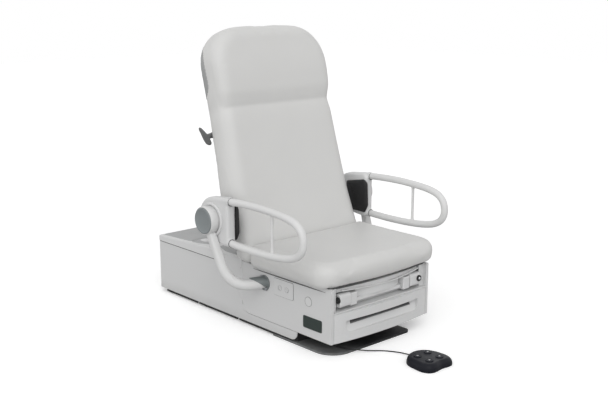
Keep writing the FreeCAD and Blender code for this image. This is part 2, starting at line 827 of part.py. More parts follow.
def backOutline(inset):
    # plan of the back, wide at the hip, round at the head and slightly crowned on top
    half = value("backHalfTop")
    corner = value("backCorner")
    bend = math.radians(value("backCrownAngle"))
    middle = half - corner
    crown = middle / math.sin(bend) + corner
    straight = value("backTop") - crown + (crown - corner) * math.cos(bend)
    taper = value("backHalfLow") - half
    side = [Vector(half + taper * share - inset, straight * along, 0) for along, share in SIDE_SHARES]
    radius = corner - inset
    centre = Vector(middle, straight, 0)
    turn = math.pi / 2 - bend
    bulge = centre + Vector(math.cos(turn / 2), math.sin(turn / 2), 0) * radius
    shoulder = centre + Vector(math.cos(turn), math.sin(turn), 0) * radius
    crest = Vector(0, value("backTop") - inset, 0)
    lean = side[1] - side[0]
    right = smooth(side, lean.normalize(), AXES["y"])
    left = smooth([Vector(-spot.x, spot.y, 0) for spot in side], Vector(-lean.x, lean.y, 0), AXES["y"])
    edges = [right, Part.Arc(side[-1], bulge, shoulder).toShape(),
             Part.Arc(shoulder, crest, flipped(shoulder)).toShape(),
             Part.Arc(flipped(shoulder), flipped(bulge), flipped(side[-1])).toShape(),
             left, Part.LineSegment(flipped(side[0]), side[0]).toShape()]
    return Part.Face(Part.Wire(Part.sortEdges(edges)[0]))


def flipped(spot):
    return Vector(-spot.x, spot.y, spot.z)


def sideProfile(spots):
    # a profile given as (along, forward), swept right across the back
    reach = value("backHalfLow + overrun")
    corners = [Vector(-reach, along, forward) for along, forward in spots]
    return Part.Face(Part.makePolygon(corners + corners[:1])).extrude(AXES["x"] * 2 * reach)


def backBlock(inset):
    # plan outline taken down to the rear face, with the rear rim rounded
    depth = value("backDepth") - inset
    front = value("backFace + overrun")
    solid = backOutline(inset).extrude(AXES["z"] * (front + depth))
    solid.translate(AXES["z"] * -depth)
    rim = [edge for edge in solid.Edges
           if edge.BoundBox.ZMax < -depth + NEAR and edge.BoundBox.YMax > value("backTop") / 2]
    return solid.makeFillet(value("backRearEdge") - inset, rim)


def backEnvelope():
    # the whole padded form: block, shaped front face and the wide front roll
    top = value("backTop")
    face = value("backFace")
    reach = value("backHalfLow + overrun")
    spots = [Vector(-reach, top * along, face * share) for along, share in FACE_SHARES]
    beyond = spots[-1] + Vector(0, value("overrun"), 0)
    front = smooth(spots, AXES["y"], (spots[-1] - spots[-2]).normalize())
    deep = -value("backDepth + overrun")
    edges = [front, Part.LineSegment(spots[-1], beyond).toShape(),
             Part.LineSegment(beyond, Vector(-reach, beyond.y, deep)).toShape(),
             Part.LineSegment(Vector(-reach, beyond.y, deep), Vector(-reach, 0, deep)).toShape(),
             Part.LineSegment(Vector(-reach, 0, deep), spots[0]).toShape()]
    profile = Part.Face(Part.Wire(edges)).extrude(AXES["x"] * 2 * reach)
    solid = backBlock(0).common(profile).removeSplitter()
    rim = []
    for edge in solid.Edges:
        bound = edge.BoundBox
        level = bound.ZMin > 0 and bound.YMax > NEAR
        upright = bound.ZLength > face
        if level and not upright:
            rim.append(edge)
    return solid.makeFillet(value("backRoll"), rim)


def coverProfile(gap, wall):
    # side profile of the head cover: flat in front, its lower edge slanted down to the rear
    slope = value("coverRise") / (value("backDepth") - value("coverSplit"))
    front = -value("coverSplit") - gap
    low = value("coverLow") + gap + wall
    reach = value("backDepth + overrun")
    top = value("backTop + overrun")
    if wall:
        front = value("overrun")
    return sideProfile([(low + slope * (value("backDepth") + front), front), (top, front), (top, -reach),
                        (low - slope * value("overrun"), -reach)])


def buildBackCushion(envelope):
    gap = value("cushionGap")
    rear = -value("backRear") + gap
    half = value("wingInner")
    deep = value("backDepth + overrun")
    # the frame and the rear shell lie between the side wings
    long_ = value("backBarTop + backRearEdge + overrun")
    hollow = Part.makeBox(2 * half, long_, deep, Vector(-half, -value("overrun"), rear - deep))
    low = sideProfile([(-value("overrun"), rear), (value("wingLow"), rear), (value("wingLow"), -deep),
                       (-value("overrun"), -deep)])
    pad = envelope.cut(hollow).cut(low).cut(coverProfile(0, 0))
    # the lower end is a roll round the hinge line
    reach = value("backHalfLow")
    roll = Part.makeCylinder(value("backFace - rollStep"), 2 * reach, Vector(-reach, 0, 0), AXES["x"])
    ends = [edge for edge in roll.Edges if edge.BoundBox.XLength < NEAR]
    pad = pad.fuse(roll.makeFillet(value("rollEnd"), ends))
    margin = value("notchMargin")
    inner = value("earInner - backBarWide") - margin
    wide = value("backBarWide + earThick") + 3 * margin
    face = value("backFace")
    for start in (inner, -inner - wide):
        notch = Part.makeBox(wide, 2 * face + value("shellLow"), 2 * face + value("earRadius") + margin,
                             Vector(start, -2 * face, -2 * face))
        pad = pad.cut(notch)
    node("back_cushion", feature("BackCushion", pad.removeSplitter()), backPlace())


def buildBackFrame():
    pieces = []
    rear = value("backRear")
    deep = value("backBarDeep")
    wide = value("backBarWide")
    inner = value("earInner") - wide - value("runningGap") * 10
    eye = value("earRadius")
    top = value("backBarTop")
    for start in (inner, -inner - wide):
        pieces.append(Part.makeBox(wide, top, deep, Vector(start, 0, -rear - deep)))
        pieces.append(Part.makeCylinder(eye, wide, Vector(start, 0, 0), AXES["x"]))
        web = Part.makePolygon([Vector(start, -eye, 0), Vector(start, eye, 0), Vector(start, eye * 3, -rear),
                                Vector(start, eye * 3, -rear - deep), Vector(start, 0, -rear - deep),
                                Vector(start, -eye, 0)])
        pieces.append(Part.Face(web).extrude(AXES["x"] * wide))
    for share in (0.12, 0.5, 0.98):
        pieces.append(Part.makeBox(2 * inner, deep * 2, deep, Vector(-inner, top * share - deep * 2, -rear - deep)))
    frame = pieces[0].fuse(pieces[1:])
    frame = frame.cut(Part.makeCylinder(value("backPin"), 4 * inner, Vector(-2 * inner, 0, 0), AXES["x"]))
    node("back_frame", feature("BackFrame", frame.removeSplitter()), backPlace())


def buildHingePins():
    pins = []
    inner = value("earInner - backBarWide") - value("runningGap") * 10
    outer = value("earInner + earThick + runningGap * 10")
    head = value("pinHead")
    solid = Part.makeCylinder(value("backPin"), outer - inner, Vector(inner, 0, 0), AXES["x"])
    solid = solid.fuse(Part.makeCylinder(value("backPin + pinHead"), head, Vector(outer, 0, 0), AXES["x"]))
    pins = [solid, mirrored(solid)]
    node("back_hinge_pins", feature("BackHingePins", Part.makeCompound(pins)), backPlace())


def buildBackShell():
    # pressed panel between the wings, with flanges folded round behind them
    gap = value("cushionGap")
    wall = value("shellWall")
    low = value("shellLow")
    high = value("shellHigh")
    outer = value("wingInner") - gap
    inner = outer - wall
    broad = outer + value("shellFlange")
    rear = -value("backDepth") - gap
    slab = Part.makeBox(2 * broad, high - low, -rear + wall - value("backRear"), Vector(-broad, low, rear - wall))
    wings = []
    for start in (outer, -outer - 2 * value("shellFlange")):
        wings.append(Part.makeBox(2 * value("shellFlange"), high, -rear, Vector(start, low, rear)))
    deep = value("backDepth + overrun")
    shallow = -value("shellShallow")
    sunk = -value("shellDeep")
    first = value("shellBreak")
    second = value("shellBreak + shellSlope")
    end = high + value("overrun")
    below = sideProfile([(0, shallow), (first, shallow), (second, sunk), (end, sunk), (end, -deep), (0, -deep)])
    above = sideProfile([(low + wall, 0), (high - wall, 0), (high - wall, sunk + wall), (second, sunk + wall),
                         (first, shallow + wall), (low + wall, shallow + wall)])
    between = Part.makeBox(2 * inner, high + value("overrun"), 2 * deep, Vector(-inner, 0, -deep))
    shell = slab.cut(wings).cut(below.common(between)).cut(above.common(between))
    # the frame's bars run through the lower and the upper edge
    gate = value("backBarWide") + 2 * value("notchMargin")
    start = value("earInner - backBarWide") - value("notchMargin") - value("runningGap") * 10
    for along in (low, high):
        for x in (start, -start - gate):
            corner = Vector(x, along - 2 * wall, shallow + wall)
            shell = shell.cut(Part.makeBox(gate, 4 * wall, value("shellDeep"), corner))
    node("back_shell", feature("BackShell", shell.removeSplitter()), backPlace())


def buildRollCover(envelope):
    # cover round the head end, open in front towards the cushion
    wall = value("coverWall")
    gap = value("seamGap") / 2
    middle = value("coverMiddle")
    half = value("wingInner")
    deep = value("backDepth + overrun")
    notch = Part.makeBox(2 * half, middle, 2 * deep, Vector(-half, 0, -deep))
    inner = Part.makeBox(2 * (half + wall), middle + wall, 2 * deep, Vector(-half - wall, 0, -deep))
    solid = envelope.common(coverProfile(gap, 0)).cut(notch)
    hollow = backBlock(wall).common(coverProfile(gap, wall)).cut(inner)
    node("roll_cover", feature("RollCover", solid.cut(hollow).removeSplitter()), backPlace())


def buildLevers():
    # on the right, then mirrored: a hub behind the flange and a curved paddle past the side
    thick = value("leverThick")
    boss = value("leverBoss")
    rear = -value("backDepth + cushionGap + shellWall")
    base = Vector(value("leverX"), value("leverAlong"), rear - value("leverSeat") - thick)
    tip = base + Vector(value("leverReach") - boss / 2, value("leverRise"), 0)
    nose = base + Vector(value("leverReach"), value("leverRise") - boss / 2, 0)
    foot = base + Vector(value("leverFoot"), -value("leverDrop"), 0)
    crown = base + Vector(0, boss, 0)
    heel = base + Vector(0, -boss, 0)
    dish = (crown + tip) * 0.5 - Vector(0, boss / 4, 0)
    belly = (nose + foot) * 0.5 + Vector(boss / 2, 0, 0)
    toe = foot - Vector(boss / 2, boss / 2, 0)
    under = (toe + heel) * 0.5 + Vector(boss / 4, boss / 4, 0)
    edges = [Part.Arc(crown, dish, tip).toShape(), Part.LineSegment(tip, nose).toShape(),
             Part.Arc(nose, belly, foot).toShape(), Part.LineSegment(foot, toe).toShape(),
             Part.Arc(toe, under, heel).toShape(), Part.Arc(heel, base - Vector(boss, 0, 0), crown).toShape()]
    lever = Part.Face(Part.Wire(edges)).extrude(AXES["z"] * thick)
    pin = value("hingePin")
    lever = lever.cut(Part.makeCylinder(pin + value("runningGap"), thick, base, AXES["z"]))
    for name, solid in (("release_lever_left", mirrored(lever)), ("release_lever_right", lever)):
        node(name, feature(name, solid), backPlace())
    post = Part.makeCylinder(pin, thick, base, AXES["z"])
    seat = Part.makeCylinder(boss, value("leverSeat"), base + Vector(0, 0, thick), AXES["z"])
    posts = [post.fuse(seat)]
    posts.append(mirrored(posts[0]))
    node("lever_posts", feature("LeverPosts", Part.makeCompound(posts)), backPlace())


# assist arms: bracket, bent tube with hub, swinging rail, housing and inner pad
def armRoute():
    # bend points of the left arm tube, from inside the hub to the bracket on the chassis
    top = point("-armStart", "-hubY - armTubeRadius / 2", "hubZ - hubRadius / 2")
    knee = point("-armStart", "-armKneeY", "armKneeZ")
    elbow = point("-armElbowX", "-armElbowY", "armElbowZ")
    foot = point("-chassisHalf - flangeThick * 3", "-armFootY", "armFootZ")
    return [top, knee, elbow, foot]


def sidePair(name, shape):
    node(name + "_left", feature(name + "Left", shape))
    node(name + "_right", feature(name + "Right", mirrored(shape)))


def buildAssistArms():
    route = armRoute()
    path = bentPath(route, [value("armBendHigh"), value("armBend")])
    solid = tube(path, value("armTubeRadius"))
    hub = point("-hubInner - hubWide", "-hubY", "hubZ")
    wide = value("hubWide")
    ring = Part.makeCylinder(value("hubRadius"), wide, hub, AXES["x"])
    recess = value("capThick - capProud + capTravel + capGap")
    ring = ring.cut(Part.makeCylinder(value("capRadius + capGap"), recess, hub, AXES["x"]))
    core = Part.makeCylinder(value("hubRadius - capProud"), wide * 3, hub - Vector(wide, 0, 0), AXES["x"])
    solid = ring.fuse(solid.cut(core))
    spindle = Part.makeCylinder(value("spindle"), value("hubInner - housingInner - seamGap"),
                                hub + Vector(wide, 0, 0), AXES["x"])
    solid = solid.fuse(spindle)
    well = Part.makeCylinder(value("capStem + runningGap"), value("capStemLong + capTravel + capGap"),
                             hub + Vector(recess - value("capTravel + capGap"), 0, 0), AXES["x"])
    sidePair("assist_arm", solid.cut(well).removeSplitter())
    buildArmBrackets(route)
    cap = Part.makeCylinder(value("capRadius"), value("capThick"), hub - Vector(value("capProud"), 0, 0), AXES["x"])
    rim = [edge for edge in cap.Edges if edge.BoundBox.XMax < hub.x - value("capProud") + NEAR]
    cap = cap.makeFillet(value("capProud / 2"), rim)
    stem = Part.makeCylinder(value("capStem"), value("capStemLong"),
                             hub + Vector(value("capThick - capProud"), 0, 0), AXES["x"])
    sidePair("hub_cap", cap.fuse(stem))


def buildArmBrackets(route):
    inward = (route[3] - route[2]).normalize()
    wall = -value("chassisHalf")
    centre = route[3] + inward * ((wall - route[3].x) / inward.x)
    cup = Part.makeCylinder(value("cupRadius"), value("cupLong + flangeRadius"),
                            centre + inward * value("flangeRadius"), inward * -1)
    cup = cup.common(Part.makeBox(value("cupLong * 3"), value("cupLong * 6"), value("cupLong * 6"),
                                  Vector(wall - value("cupLong * 3"), centre.y - value("cupLong * 3"),
                                         centre.z - value("cupLong * 3"))))
    flange = Part.makeCylinder(value("flangeRadius"), value("flangeThick"),
                               Vector(wall - value("flangeThick"), centre.y, centre.z), AXES["x"])
    hole = Part.makeCylinder(value("armTubeRadius"), value("cupLong * 2"), route[3], inward * -1)
    bracket = flange.fuse(cup).cut(hole)
    bolts = []
    for turn in (60, 240):
        bend = math.radians(turn)
        away = Vector(0, math.cos(bend), math.sin(bend)) * value("flangeRadius - boltRadius")
        seat = Vector(wall - value("flangeThick"), centre.y, centre.z) + away
        proud = value("boltRadius / 2")
        bolts.append(Part.makeCylinder(value("boltRadius"), proud, seat - Vector(proud, 0, 0), AXES["x"]))
    sidePair("arm_bracket", bracket.fuse(bolts).removeSplitter())


def railPath():
    # loop from the housing's upper socket round the tip to its lower socket, both runs bowed outward
    x = -value("railX")
    hub = point("0", "-hubY", "hubZ")
    upper = hub.z + value("railUpper")
    lower = hub.z - value("railLower")
    drop = value("railDrop")
    radius = (upper - lower) / 2 - drop
    start = hub.y - value("housingFront") + value("socketLong")
    turn = hub.y - value("railTip") + radius
    middle = (upper + lower) / 2
    half = (start + turn) / 2
    rise = value("railArch") - drop / 2
    arcs = [[(start, upper), (half, upper + rise), (turn, upper - drop)],
            [(turn, upper - drop), (turn - radius, middle), (turn, lower + drop)],
            [(turn, lower + drop), (half, lower - rise), (start, lower)]]
    edges = [Part.Arc(*[Vector(x, y, z) for y, z in arc]).toShape() for arc in arcs]
    return Part.Wire(edges), upper, lower


def buildRails():
    path, upper, lower = railPath()
    loop = tube(path, value("railTube"))
    foot = Vector(-value("railX"), -value("railBarY"), lower)
    loop = loop.fuse(Part.makeCylinder(value("railBar"), upper - lower, foot, AXES["z"]))
    sidePair("assist_rail", loop.removeSplitter())
    hub = point("-hubInner + runningGap * 10", "-hubY", "hubZ")
    wide = value("hubInner - runningGap * 10 - housingInner")
    body = Part.makeCylinder(value("housingRadius"), wide, hub, AXES["x"]).fuse(housingNose(hub, wide)).removeSplitter()
    rims = [edge for edge in body.Edges if edge.BoundBox.XLength < NEAR]
    body = body.makeFillet(value("housingEdge"), rims)
    for z in (upper, lower):
        mouth = Vector(-value("railX"), hub.y - value("housingFront"), z)
        proud = Vector(0, value("socketProud"), 0)
        collar = Part.makeCylinder(value("socketRadius"), value("socketLong + socketProud"), mouth - proud, AXES["y"])
        body = body.fuse(collar)
    body = body.cut(tube(path, value("railTube + runningGap")))
    body = body.cut(Part.makeCylinder(value("spindle + runningGap"), wide * 3, hub - Vector(wide, 0, 0), AXES["x"]))
    sidePair("rail_housing", body)
    buildRailPads(hub)


def housingNose(hub, wide):
    # the front of the housing, its upper and lower edges tangent to the round rear
    front = value("housingFront")
    high = value("housingHalfHigh")
    radius = value("housingRadius")
    away = math.hypot(front, high)
    turn = math.atan2(high, front) + math.acos(radius / away)
    touch = Vector(0, -math.cos(turn) * radius, math.sin(turn) * radius)
    corner = Vector(0, -front, high)
    spots = [touch, corner, Vector(0, -front, -high), Vector(0, touch.y, -touch.z)]
    spots = [hub + spot for spot in spots]
    nose = Part.Face(Part.makePolygon(spots + spots[:1])).extrude(AXES["x"] * wide)
    upright = [edge for edge in nose.Edges
               if edge.BoundBox.XLength > wide / 2 and edge.BoundBox.YMax < hub.y - front + NEAR]
    return nose.makeFillet(value("housingCorner"), upright)


def buildRailPads(hub):
    inner = -value("housingInner")
    front = hub.y - value("padFront")
    spots = [Vector(inner, hub.y + value("padRear"), hub.z - value("padDown")),
             Vector(inner, front, hub.z - value("padDown")), Vector(inner, front, hub.z + value("padUp")),
             Vector(inner, hub.y + value("padRear"), hub.z + value("padUp"))]
    bulge = (spots[1] + spots[2]) * 0.5 - Vector(0, value("padBow"), 0)
    edges = [Part.LineSegment(spots[0], spots[1]).toShape(), Part.Arc(spots[1], bulge, spots[2]).toShape(),
             Part.LineSegment(spots[2], spots[3]).toShape(), Part.LineSegment(spots[3], spots[0]).toShape()]
    pad = Part.Face(Part.Wire(edges)).extrude(AXES["x"] * value("padThick"))
    corners = [edge for edge in pad.Edges if edge.BoundBox.XLength > value("padThick") / 2]
    pad = pad.makeFillet(value("padCorner"), corners)
    rims = [edge for edge in pad.Edges if edge.BoundBox.XMin > inner + value("padThick") - NEAR]
    sidePair("rail_pad", pad.makeFillet(value("padThick / 3"), rims))


# drawer: bowed front with a scooped handle, and a folded tray
def bowedFront(front, bow, half, low, high, thick):
    # a panel whose front face is an arc in plan
    spots = [Vector(-half, -front + thick, low), Vector(half, -front + thick, low), Vector(half, -front, low),
             Vector(-half, -front, low)]
    edges = [Part.LineSegment(spots[0], spots[1]).toShape(), Part.LineSegment(spots[1], spots[2]).toShape(),
             Part.Arc(spots[2], Vector(0, -front - bow, low), spots[3]).toShape(),
             Part.LineSegment(spots[3], spots[0]).toShape()]
    return Part.Face(Part.Wire(edges)).extrude(AXES["z"] * (high - low))


def buildDrawer():
    front = value("chassisFront")
    panel = bowedFront(front, value("frontBow"), value("frontHalf"), value("frontBottom"), value("frontTop"),
                       value("frontThick"))
    deep = value("handleDeep")
    face = -front - value("frontBow * 2")
    scoop = Part.makePolygon([Vector(-value("handleHalf"), face, value("handleLow")),
                              Vector(-value("handleHalf"), -front - value("frontBow") / 3, value("handleLow")),
                              Vector(-value("handleHalf"), -front + deep / 3, value("slotLow")),
                              Vector(-value("handleHalf"), -front + deep / 3, value("handleHigh")),
                              Vector(-value("handleHalf"), face, value("handleHigh")),
                              Vector(-value("handleHalf"), face, value("handleLow"))])
    scoopSolid = Part.Face(scoop).extrude(AXES["x"] * value("handleHalf * 2"))
    window = Part.makeBox(value("handleHalf * 2"), value("frontBow * 4"), value("handleHigh - handleLow"),
                          Vector(-value("handleHalf"), face, value("handleLow")))
    low = [edge for edge in window.Edges
           if edge.BoundBox.YLength > value("frontBow") and edge.BoundBox.ZMax < value("handleLow") + NEAR]
    scoopSolid = scoopSolid.common(window.makeFillet(value("handleRound"), low))
    slot = Part.makeBox(value("slotHalf * 2"), value("slotDeep + frontBow * 2"), value("handleHigh - slotLow"),
                        Vector(-value("slotHalf"), face, value("slotLow")))
    panel = panel.cut(scoopSolid).cut(slot)
    node("drawer_front", feature("DrawerFront", panel))
    tray = box("TrayOuter", ("-drawerHalf", "drawerHalf"), ("-chassisFront + frontThick", "-drawerBack - seamGap"),
               ("drawerBottom", "drawerTop"))
    hollow = box("TrayHollow", ("-drawerHalf + drawerWall", "drawerHalf - drawerWall"),
                 ("-chassisFront + frontThick + drawerWall", "-drawerBack - seamGap - drawerWall"),
                 ("drawerBottom + drawerWall", "drawerTop + overrun"))
    node("drawer_tray", cut("DrawerTray", tray, [hollow]))
    slides = []
    for sign in ("-", ""):
        slides.append(box("DrawerSlide", spanX(sign, "drawerHalf + runningGap * 6", "chassisHalf - chassisWall"),
                          ("-chassisFront + frontThick + seamGap", "-drawerBack"), ("slideZ", "slideZ + slideHigh")))
    node("drawer_slides", group("DrawerSlides", slides))


def buildExtension():
    half = value("extHalf")
    front = value("extFront")
    low = value("extFaceLow")
    mid = value("extLedge")
    high = value("extZ")
    deep = value("extFaceDeep")
    face = bowedFront(front - value("extBow"), value("extBow"), half, mid, high, deep - value("extBow"))
    step = Part.makeBox(half * 2, deep - value("extStep"), mid - low, Vector(-half, -front + value("extStep"), low))
    wide = value("extWide")
    lip = bowedFront(front - value("extBow"), value("extBow"), wide, high, high + value("extThick"), value("extStep"))
    shelf = Part.makeBox(wide * 2, front - value("extRear + extBow"), value("extThick"),
                         Vector(-wide, -front + value("extBow"), high))
    node("leg_extension", feature("LegExtension", face.fuse([step, lip, shelf]).removeSplitter()))
    guides = []
    for sign in ("-", ""):
        guides.append(box("ExtensionGuide", spanX(sign, "extWide + extGuideGap", "sideRailInner"),
                          ("-sideRailFront", "-bridgeRear"), ("bridgeZ + bridgeThick", "sideRailTop")))
        low, high = spanX(sign, "stirrupX - sleeveWall - runningGap", "stirrupX + stirrupBar + sleeveWall + runningGap")
        outer = box("SleeveOuter", (low, high), ("-stirrupFront + stirrupBar", "-stirrupRear"),
                    ("stirrupZ - sleeveWall - runningGap", "bridgeZ"))
        low, high = spanX(sign, "stirrupX - runningGap * 2", "stirrupX + stirrupBar + runningGap * 2")
        bore = box("SleeveBore", (low, high), ("-chassisFront", "overrun"),
                   ("stirrupZ - runningGap * 2", "stirrupZ + stirrupBar + runningGap * 2"))
        guides.append(cut("Sleeve", outer, [bore]))
    node("slide_guides", group("SlideGuides", guides))


def block(low, high):
    return Part.makeBox(high.x - low.x, high.y - low.y, high.z - low.z, low)


def buildStirrups():
    # built on the right side, then mirrored
    bar_ = block(point("stirrupX", "-stirrupFront", "stirrupZ"),
                 point("stirrupX + stirrupBar", "-stirrupRear", "stirrupZ + stirrupBar"))
    knuckle = block(point("knuckleInner", "-cupFront + knobStem", "knuckleLow"),
                    point("knuckleOuter", "-stirrupFront + stirrupBar / 4", "knuckleHigh"))
    edges = [edge for edge in knuckle.Edges if edge.BoundBox.YMax < -value("cupFront - knobStem") + NEAR]
    knuckle = knuckle.makeFillet(value("hingePin"), edges)
    web = block(point("knuckleOuter - hingePin", "-stirrupFront", "stirrupZ"),
                point("stirrupX + stirrupBar", "-stirrupFront + stirrupBar / 4", "stirrupZ + stirrupBar"))
    pin_ = Part.makeCylinder(value("hingePin"), value("cupOuter - knuckleOuter"),
                             point("knuckleOuter", "-cupPinY", "cupPinZ"), AXES["x"])
    solid = bar_.fuse([knuckle, web, pin_]).removeSplitter()
    node("stirrup_bar_right", feature("StirrupBarRight", solid))
    node("stirrup_bar_left", feature("StirrupBarLeft", mirrored(solid)))
    cup = block(point("cupInner", "-cupFront", "cupLow"), point("cupOuter", "-stirrupFront - cupGap", "cupHigh"))
    edges = [edge for edge in cup.Edges
             if edge.BoundBox.XLength > value("cupRound") and edge.BoundBox.YMax < -value("cupFront") + NEAR]
    cup = cup.makeFillet(value("cupRound"), edges)
    pivot = point("0", "-cupPinY", "cupPinZ")
    cup = cup.cut(Part.makeCylinder(value("hingePin + runningGap"), value("cupOuter"), pivot, AXES["x"]))
    right = cup.cut(Part.makeCylinder(value("knobStem + runningGap"), value("knobStemLong + seamGap"),
                                      point("knobX", "-cupFront", "knobZ"), AXES["y"]))
    node("foot_cup_right", feature("FootCupRight", right))
    left = mirrored(cup).cut(Part.makeCylinder(value("knobStem + runningGap"), value("knobStemLong + seamGap"),
                                               point("-cupOuter", "-cupPinY", "knobZ"), AXES["x"]))
    node("foot_cup_left", feature("FootCupLeft", left))
    # clamp knobs: the right one faces forward, the left one faces outward
    node("clamp_knob_right", feature("ClampKnobRight", knob(point("knobX", "-cupFront", "knobZ"), AXES["y"])))
    node("clamp_knob_left", feature("ClampKnobLeft", knob(point("-cupOuter", "-cupPinY", "knobZ"), AXES["x"])))


def knob(seat, inward):
    # ring with a ball in its mouth and a stem that runs inward
    long_ = value("knobLong")
    outer = seat - inward * long_
    ring = Part.makeCylinder(value("knobRadius"), long_ - value("runningGap") * 2, outer, inward)
    mouth = Part.makeCylinder(value("knobRadius - hingePin"), long_ / 2, outer, inward)
    ball = Part.makeSphere(value("knobBall"), outer + inward * (long_ / 2))
    ball = ball.common(Part.makeCylinder(value("knobRadius"), long_, outer - inward * (long_ / 2), inward))
    stem = Part.makeCylinder(value("knobStem"), value("knobStemLong") + long_ / 2, outer + inward * (long_ / 2), inward)
    return ring.cut(mouth).fuse([ball, stem]).removeSplitter()


# side fittings on the chassis
def buildFittings():
    wall = -value("chassisHalf")
    y = -value("outletY")
    z = value("outletZ")
    long_ = value("outletHalfLong")
    tall = value("outletHalfHigh")
    thick = value("outletThick")
    plate = Part.makeBox(thick, 2 * long_, 2 * tall, Vector(wall - thick, y - long_, z - tall))
    plate = plate.makeFillet(value("smallCorner"), [edge for edge in plate.Edges if edge.BoundBox.XLength > thick / 2])
    faces = []
    for away in (-1, 1):
        middle = Vector(wall - thick * 2, y + away * value("outletPitch"), z)
        plate = plate.cut(Part.makeCylinder(value("outletFace"), thick * 3, middle, AXES["x"]))
        face = Part.makeCylinder(value("outletFace"), value("chassisWall") + thick, Vector(wall - thick, middle.y, z), AXES["x"])
        for blade in (-1, 1):
            slot = Part.makeBox(thick * 4, value("bladeWide"), value("bladeLong"),
                                Vector(wall - thick * 2, middle.y + blade * value("bladeGap") - value("bladeWide") / 2,
                                       z - value("bladeLong") / 4))
            face = face.cut(slot)
        earth = Part.makeCylinder(value("earthRadius"), thick * 4,
                                  Vector(wall - thick * 2, middle.y, z - value("bladeLong")), AXES["x"])
        faces.append(face.cut(earth))
    node("outlet_plate", feature("OutletPlate", plate))
    node("outlet_sockets", feature("OutletSockets", Part.makeCompound(faces)))
    plug = cylinder("SidePlug", "plugRadius - runningGap", "-chassisHalf - plateProud / 2", "-chassisHalf + chassisWall", "x",
                    ("-plugY", "plugZ"))
    node("side_plug", plug)
    bare = Part.makeBox(value("plateProud"), value("plateHalfLong * 2"), value("plateHalfHigh * 2"),
                        Vector(wall - value("plateProud"), -value("plateY + plateHalfLong"), value("plateZ - plateHalfHigh")))
    corners = [edge for edge in bare.Edges if edge.BoundBox.XLength > value("plateProud") / 2]
    bare = bare.makeFillet(value("smallCorner / 2"), corners)
    node("bare_plate", feature("BarePlate", bare))


# foot control on the floor, with its cord
PEDAL_SHARES = [0.95, 0.96, 1.02, 1.06, 1.06, 1.03, 1.0, 0.95, 0.93, 1.04, 1.09, 0.92, 0.8, 0.9, 1.1, 1.03]


def pedalRing(scale, z):
    centre = point("-pedalX", "-pedalY", "0")
    radius = value("pedalRadius") * scale
    spots = []
    for n, share in enumerate(PEDAL_SHARES):
        bend = 2 * math.pi * n / len(PEDAL_SHARES)
        spots.append(centre + Vector(math.cos(bend), math.sin(bend), 0) * (radius * share) + Vector(0, 0, z))
    curve = Part.BSplineCurve()
    curve.interpolate(spots, PeriodicFlag=True)
    return Part.Wire(curve.toShape())


def buttonSpots():
    centre = point("-pedalX", "-pedalY", "0")
    ring = value("buttonRing")
    return [centre + Vector(math.cos(turn), math.sin(turn), 0) * ring
            for turn in (math.pi / 4, 3 * math.pi / 4, 5 * math.pi / 4, 7 * math.pi / 4)]


def gland(solid, near, beyond, long_):
    # a sleeve on the solid round the cord's end, bored for the cord
    end = Vector(*CORD_ROUTE[beyond])
    outward = (Vector(*CORD_ROUTE[near]) - end).normalize()
    sleeve = Part.makeCylinder(value("glandRadius"), long_ * 2, end - outward * long_, outward)
    bore = Part.makeCylinder(value("cordRadius + cordGap"), long_ * 2, end - outward * value("cordRadius"), outward)
    return solid.fuse(sleeve).cut(bore)


def buildFootControl():
    high = value("pedalHigh")
    rings = [pedalRing(1, 0), pedalRing(1, value("pedalLip")), pedalRing(0.95, high * 0.7),
             pedalRing(0.86, high * 0.93), pedalRing(0.76, high)]
    body = Part.makeLoft(rings, True, False)
    deep = value("buttonDeep")
    for n, spot in enumerate(buttonSpots()):
        well = Part.makeCylinder(value("buttonRadius + runningGap"), high, spot + Vector(0, 0, high - deep), AXES["z"])
        body = body.cut(well)
    node("foot_control", feature("FootControl", gland(body, -2, -1, value("glandLong"))))
    for n, (spot, name) in enumerate(zip(buttonSpots(), ("seat_up", "seat_down", "back_up", "back_down"))):
        low = high - deep + value("buttonTravel")
        long_ = high + value("buttonProud") - low
        button = Part.makeCylinder(value("buttonRadius"), long_, spot + Vector(0, 0, low), AXES["z"])
        rim = [edge for edge in button.Edges if edge.BoundBox.ZMin > high]
        node("pedal_" + name, feature("Pedal" + name, button.makeFillet(value("buttonProud / 2"), rim)))


CORD_ROUTE = [(-210, -404, 25), (-210, -444, 24), (-209, -492, 15), (-206, -545, 12.8), (-197, -594, 12.8),
              (-170, -636, 12.6), (-124, -668, 5.4), (-76, -700, 2.8), (-46, -745, 2.8), (-34, -790, 5), (-36, -836, 10)]


def buildCord():
    points = [Vector(*spot) for spot in CORD_ROUTE]
    radii = []
    for n in range(1, len(points) - 1):
        before = points[n - 1] - points[n]
        after = points[n + 1] - points[n]
        turn = math.pi - before.getAngle(after)
        radii.append(0.45 * min(before.Length, after.Length) / math.tan(turn / 2))
    path = bentPath(points, radii)
    cord = tube(path, value("cordRadius"))
    node("foot_cord", feature("FootCord", cord))


def buildElectrics():
    node("control_box", box("ControlBox", ("-controlHalf", "controlHalf"), ("controlFront", "controlRear"),
                            ("railTop", "railTop + controlHigh")))


def checkAndExport():
    doc.recompute()
    for item in doc.Objects:
        if "Invalid" in item.State or "Error" in item.State:
            raise RuntimeError("failed object " + item.Name)
    os.makedirs("parts", exist_ok=True)
    bad = []
    for name, item in nodes.items():
        shape = item.Shape
        if shape.isNull() or not shape.isValid() or not shape.Solids:
            bad.append(name)
            continue
        shape.exportStep("parts/%s.step" % name)
    if bad:
        raise RuntimeError("bad shapes " + ", ".join(bad))
    print(len(nodes), "nodes")


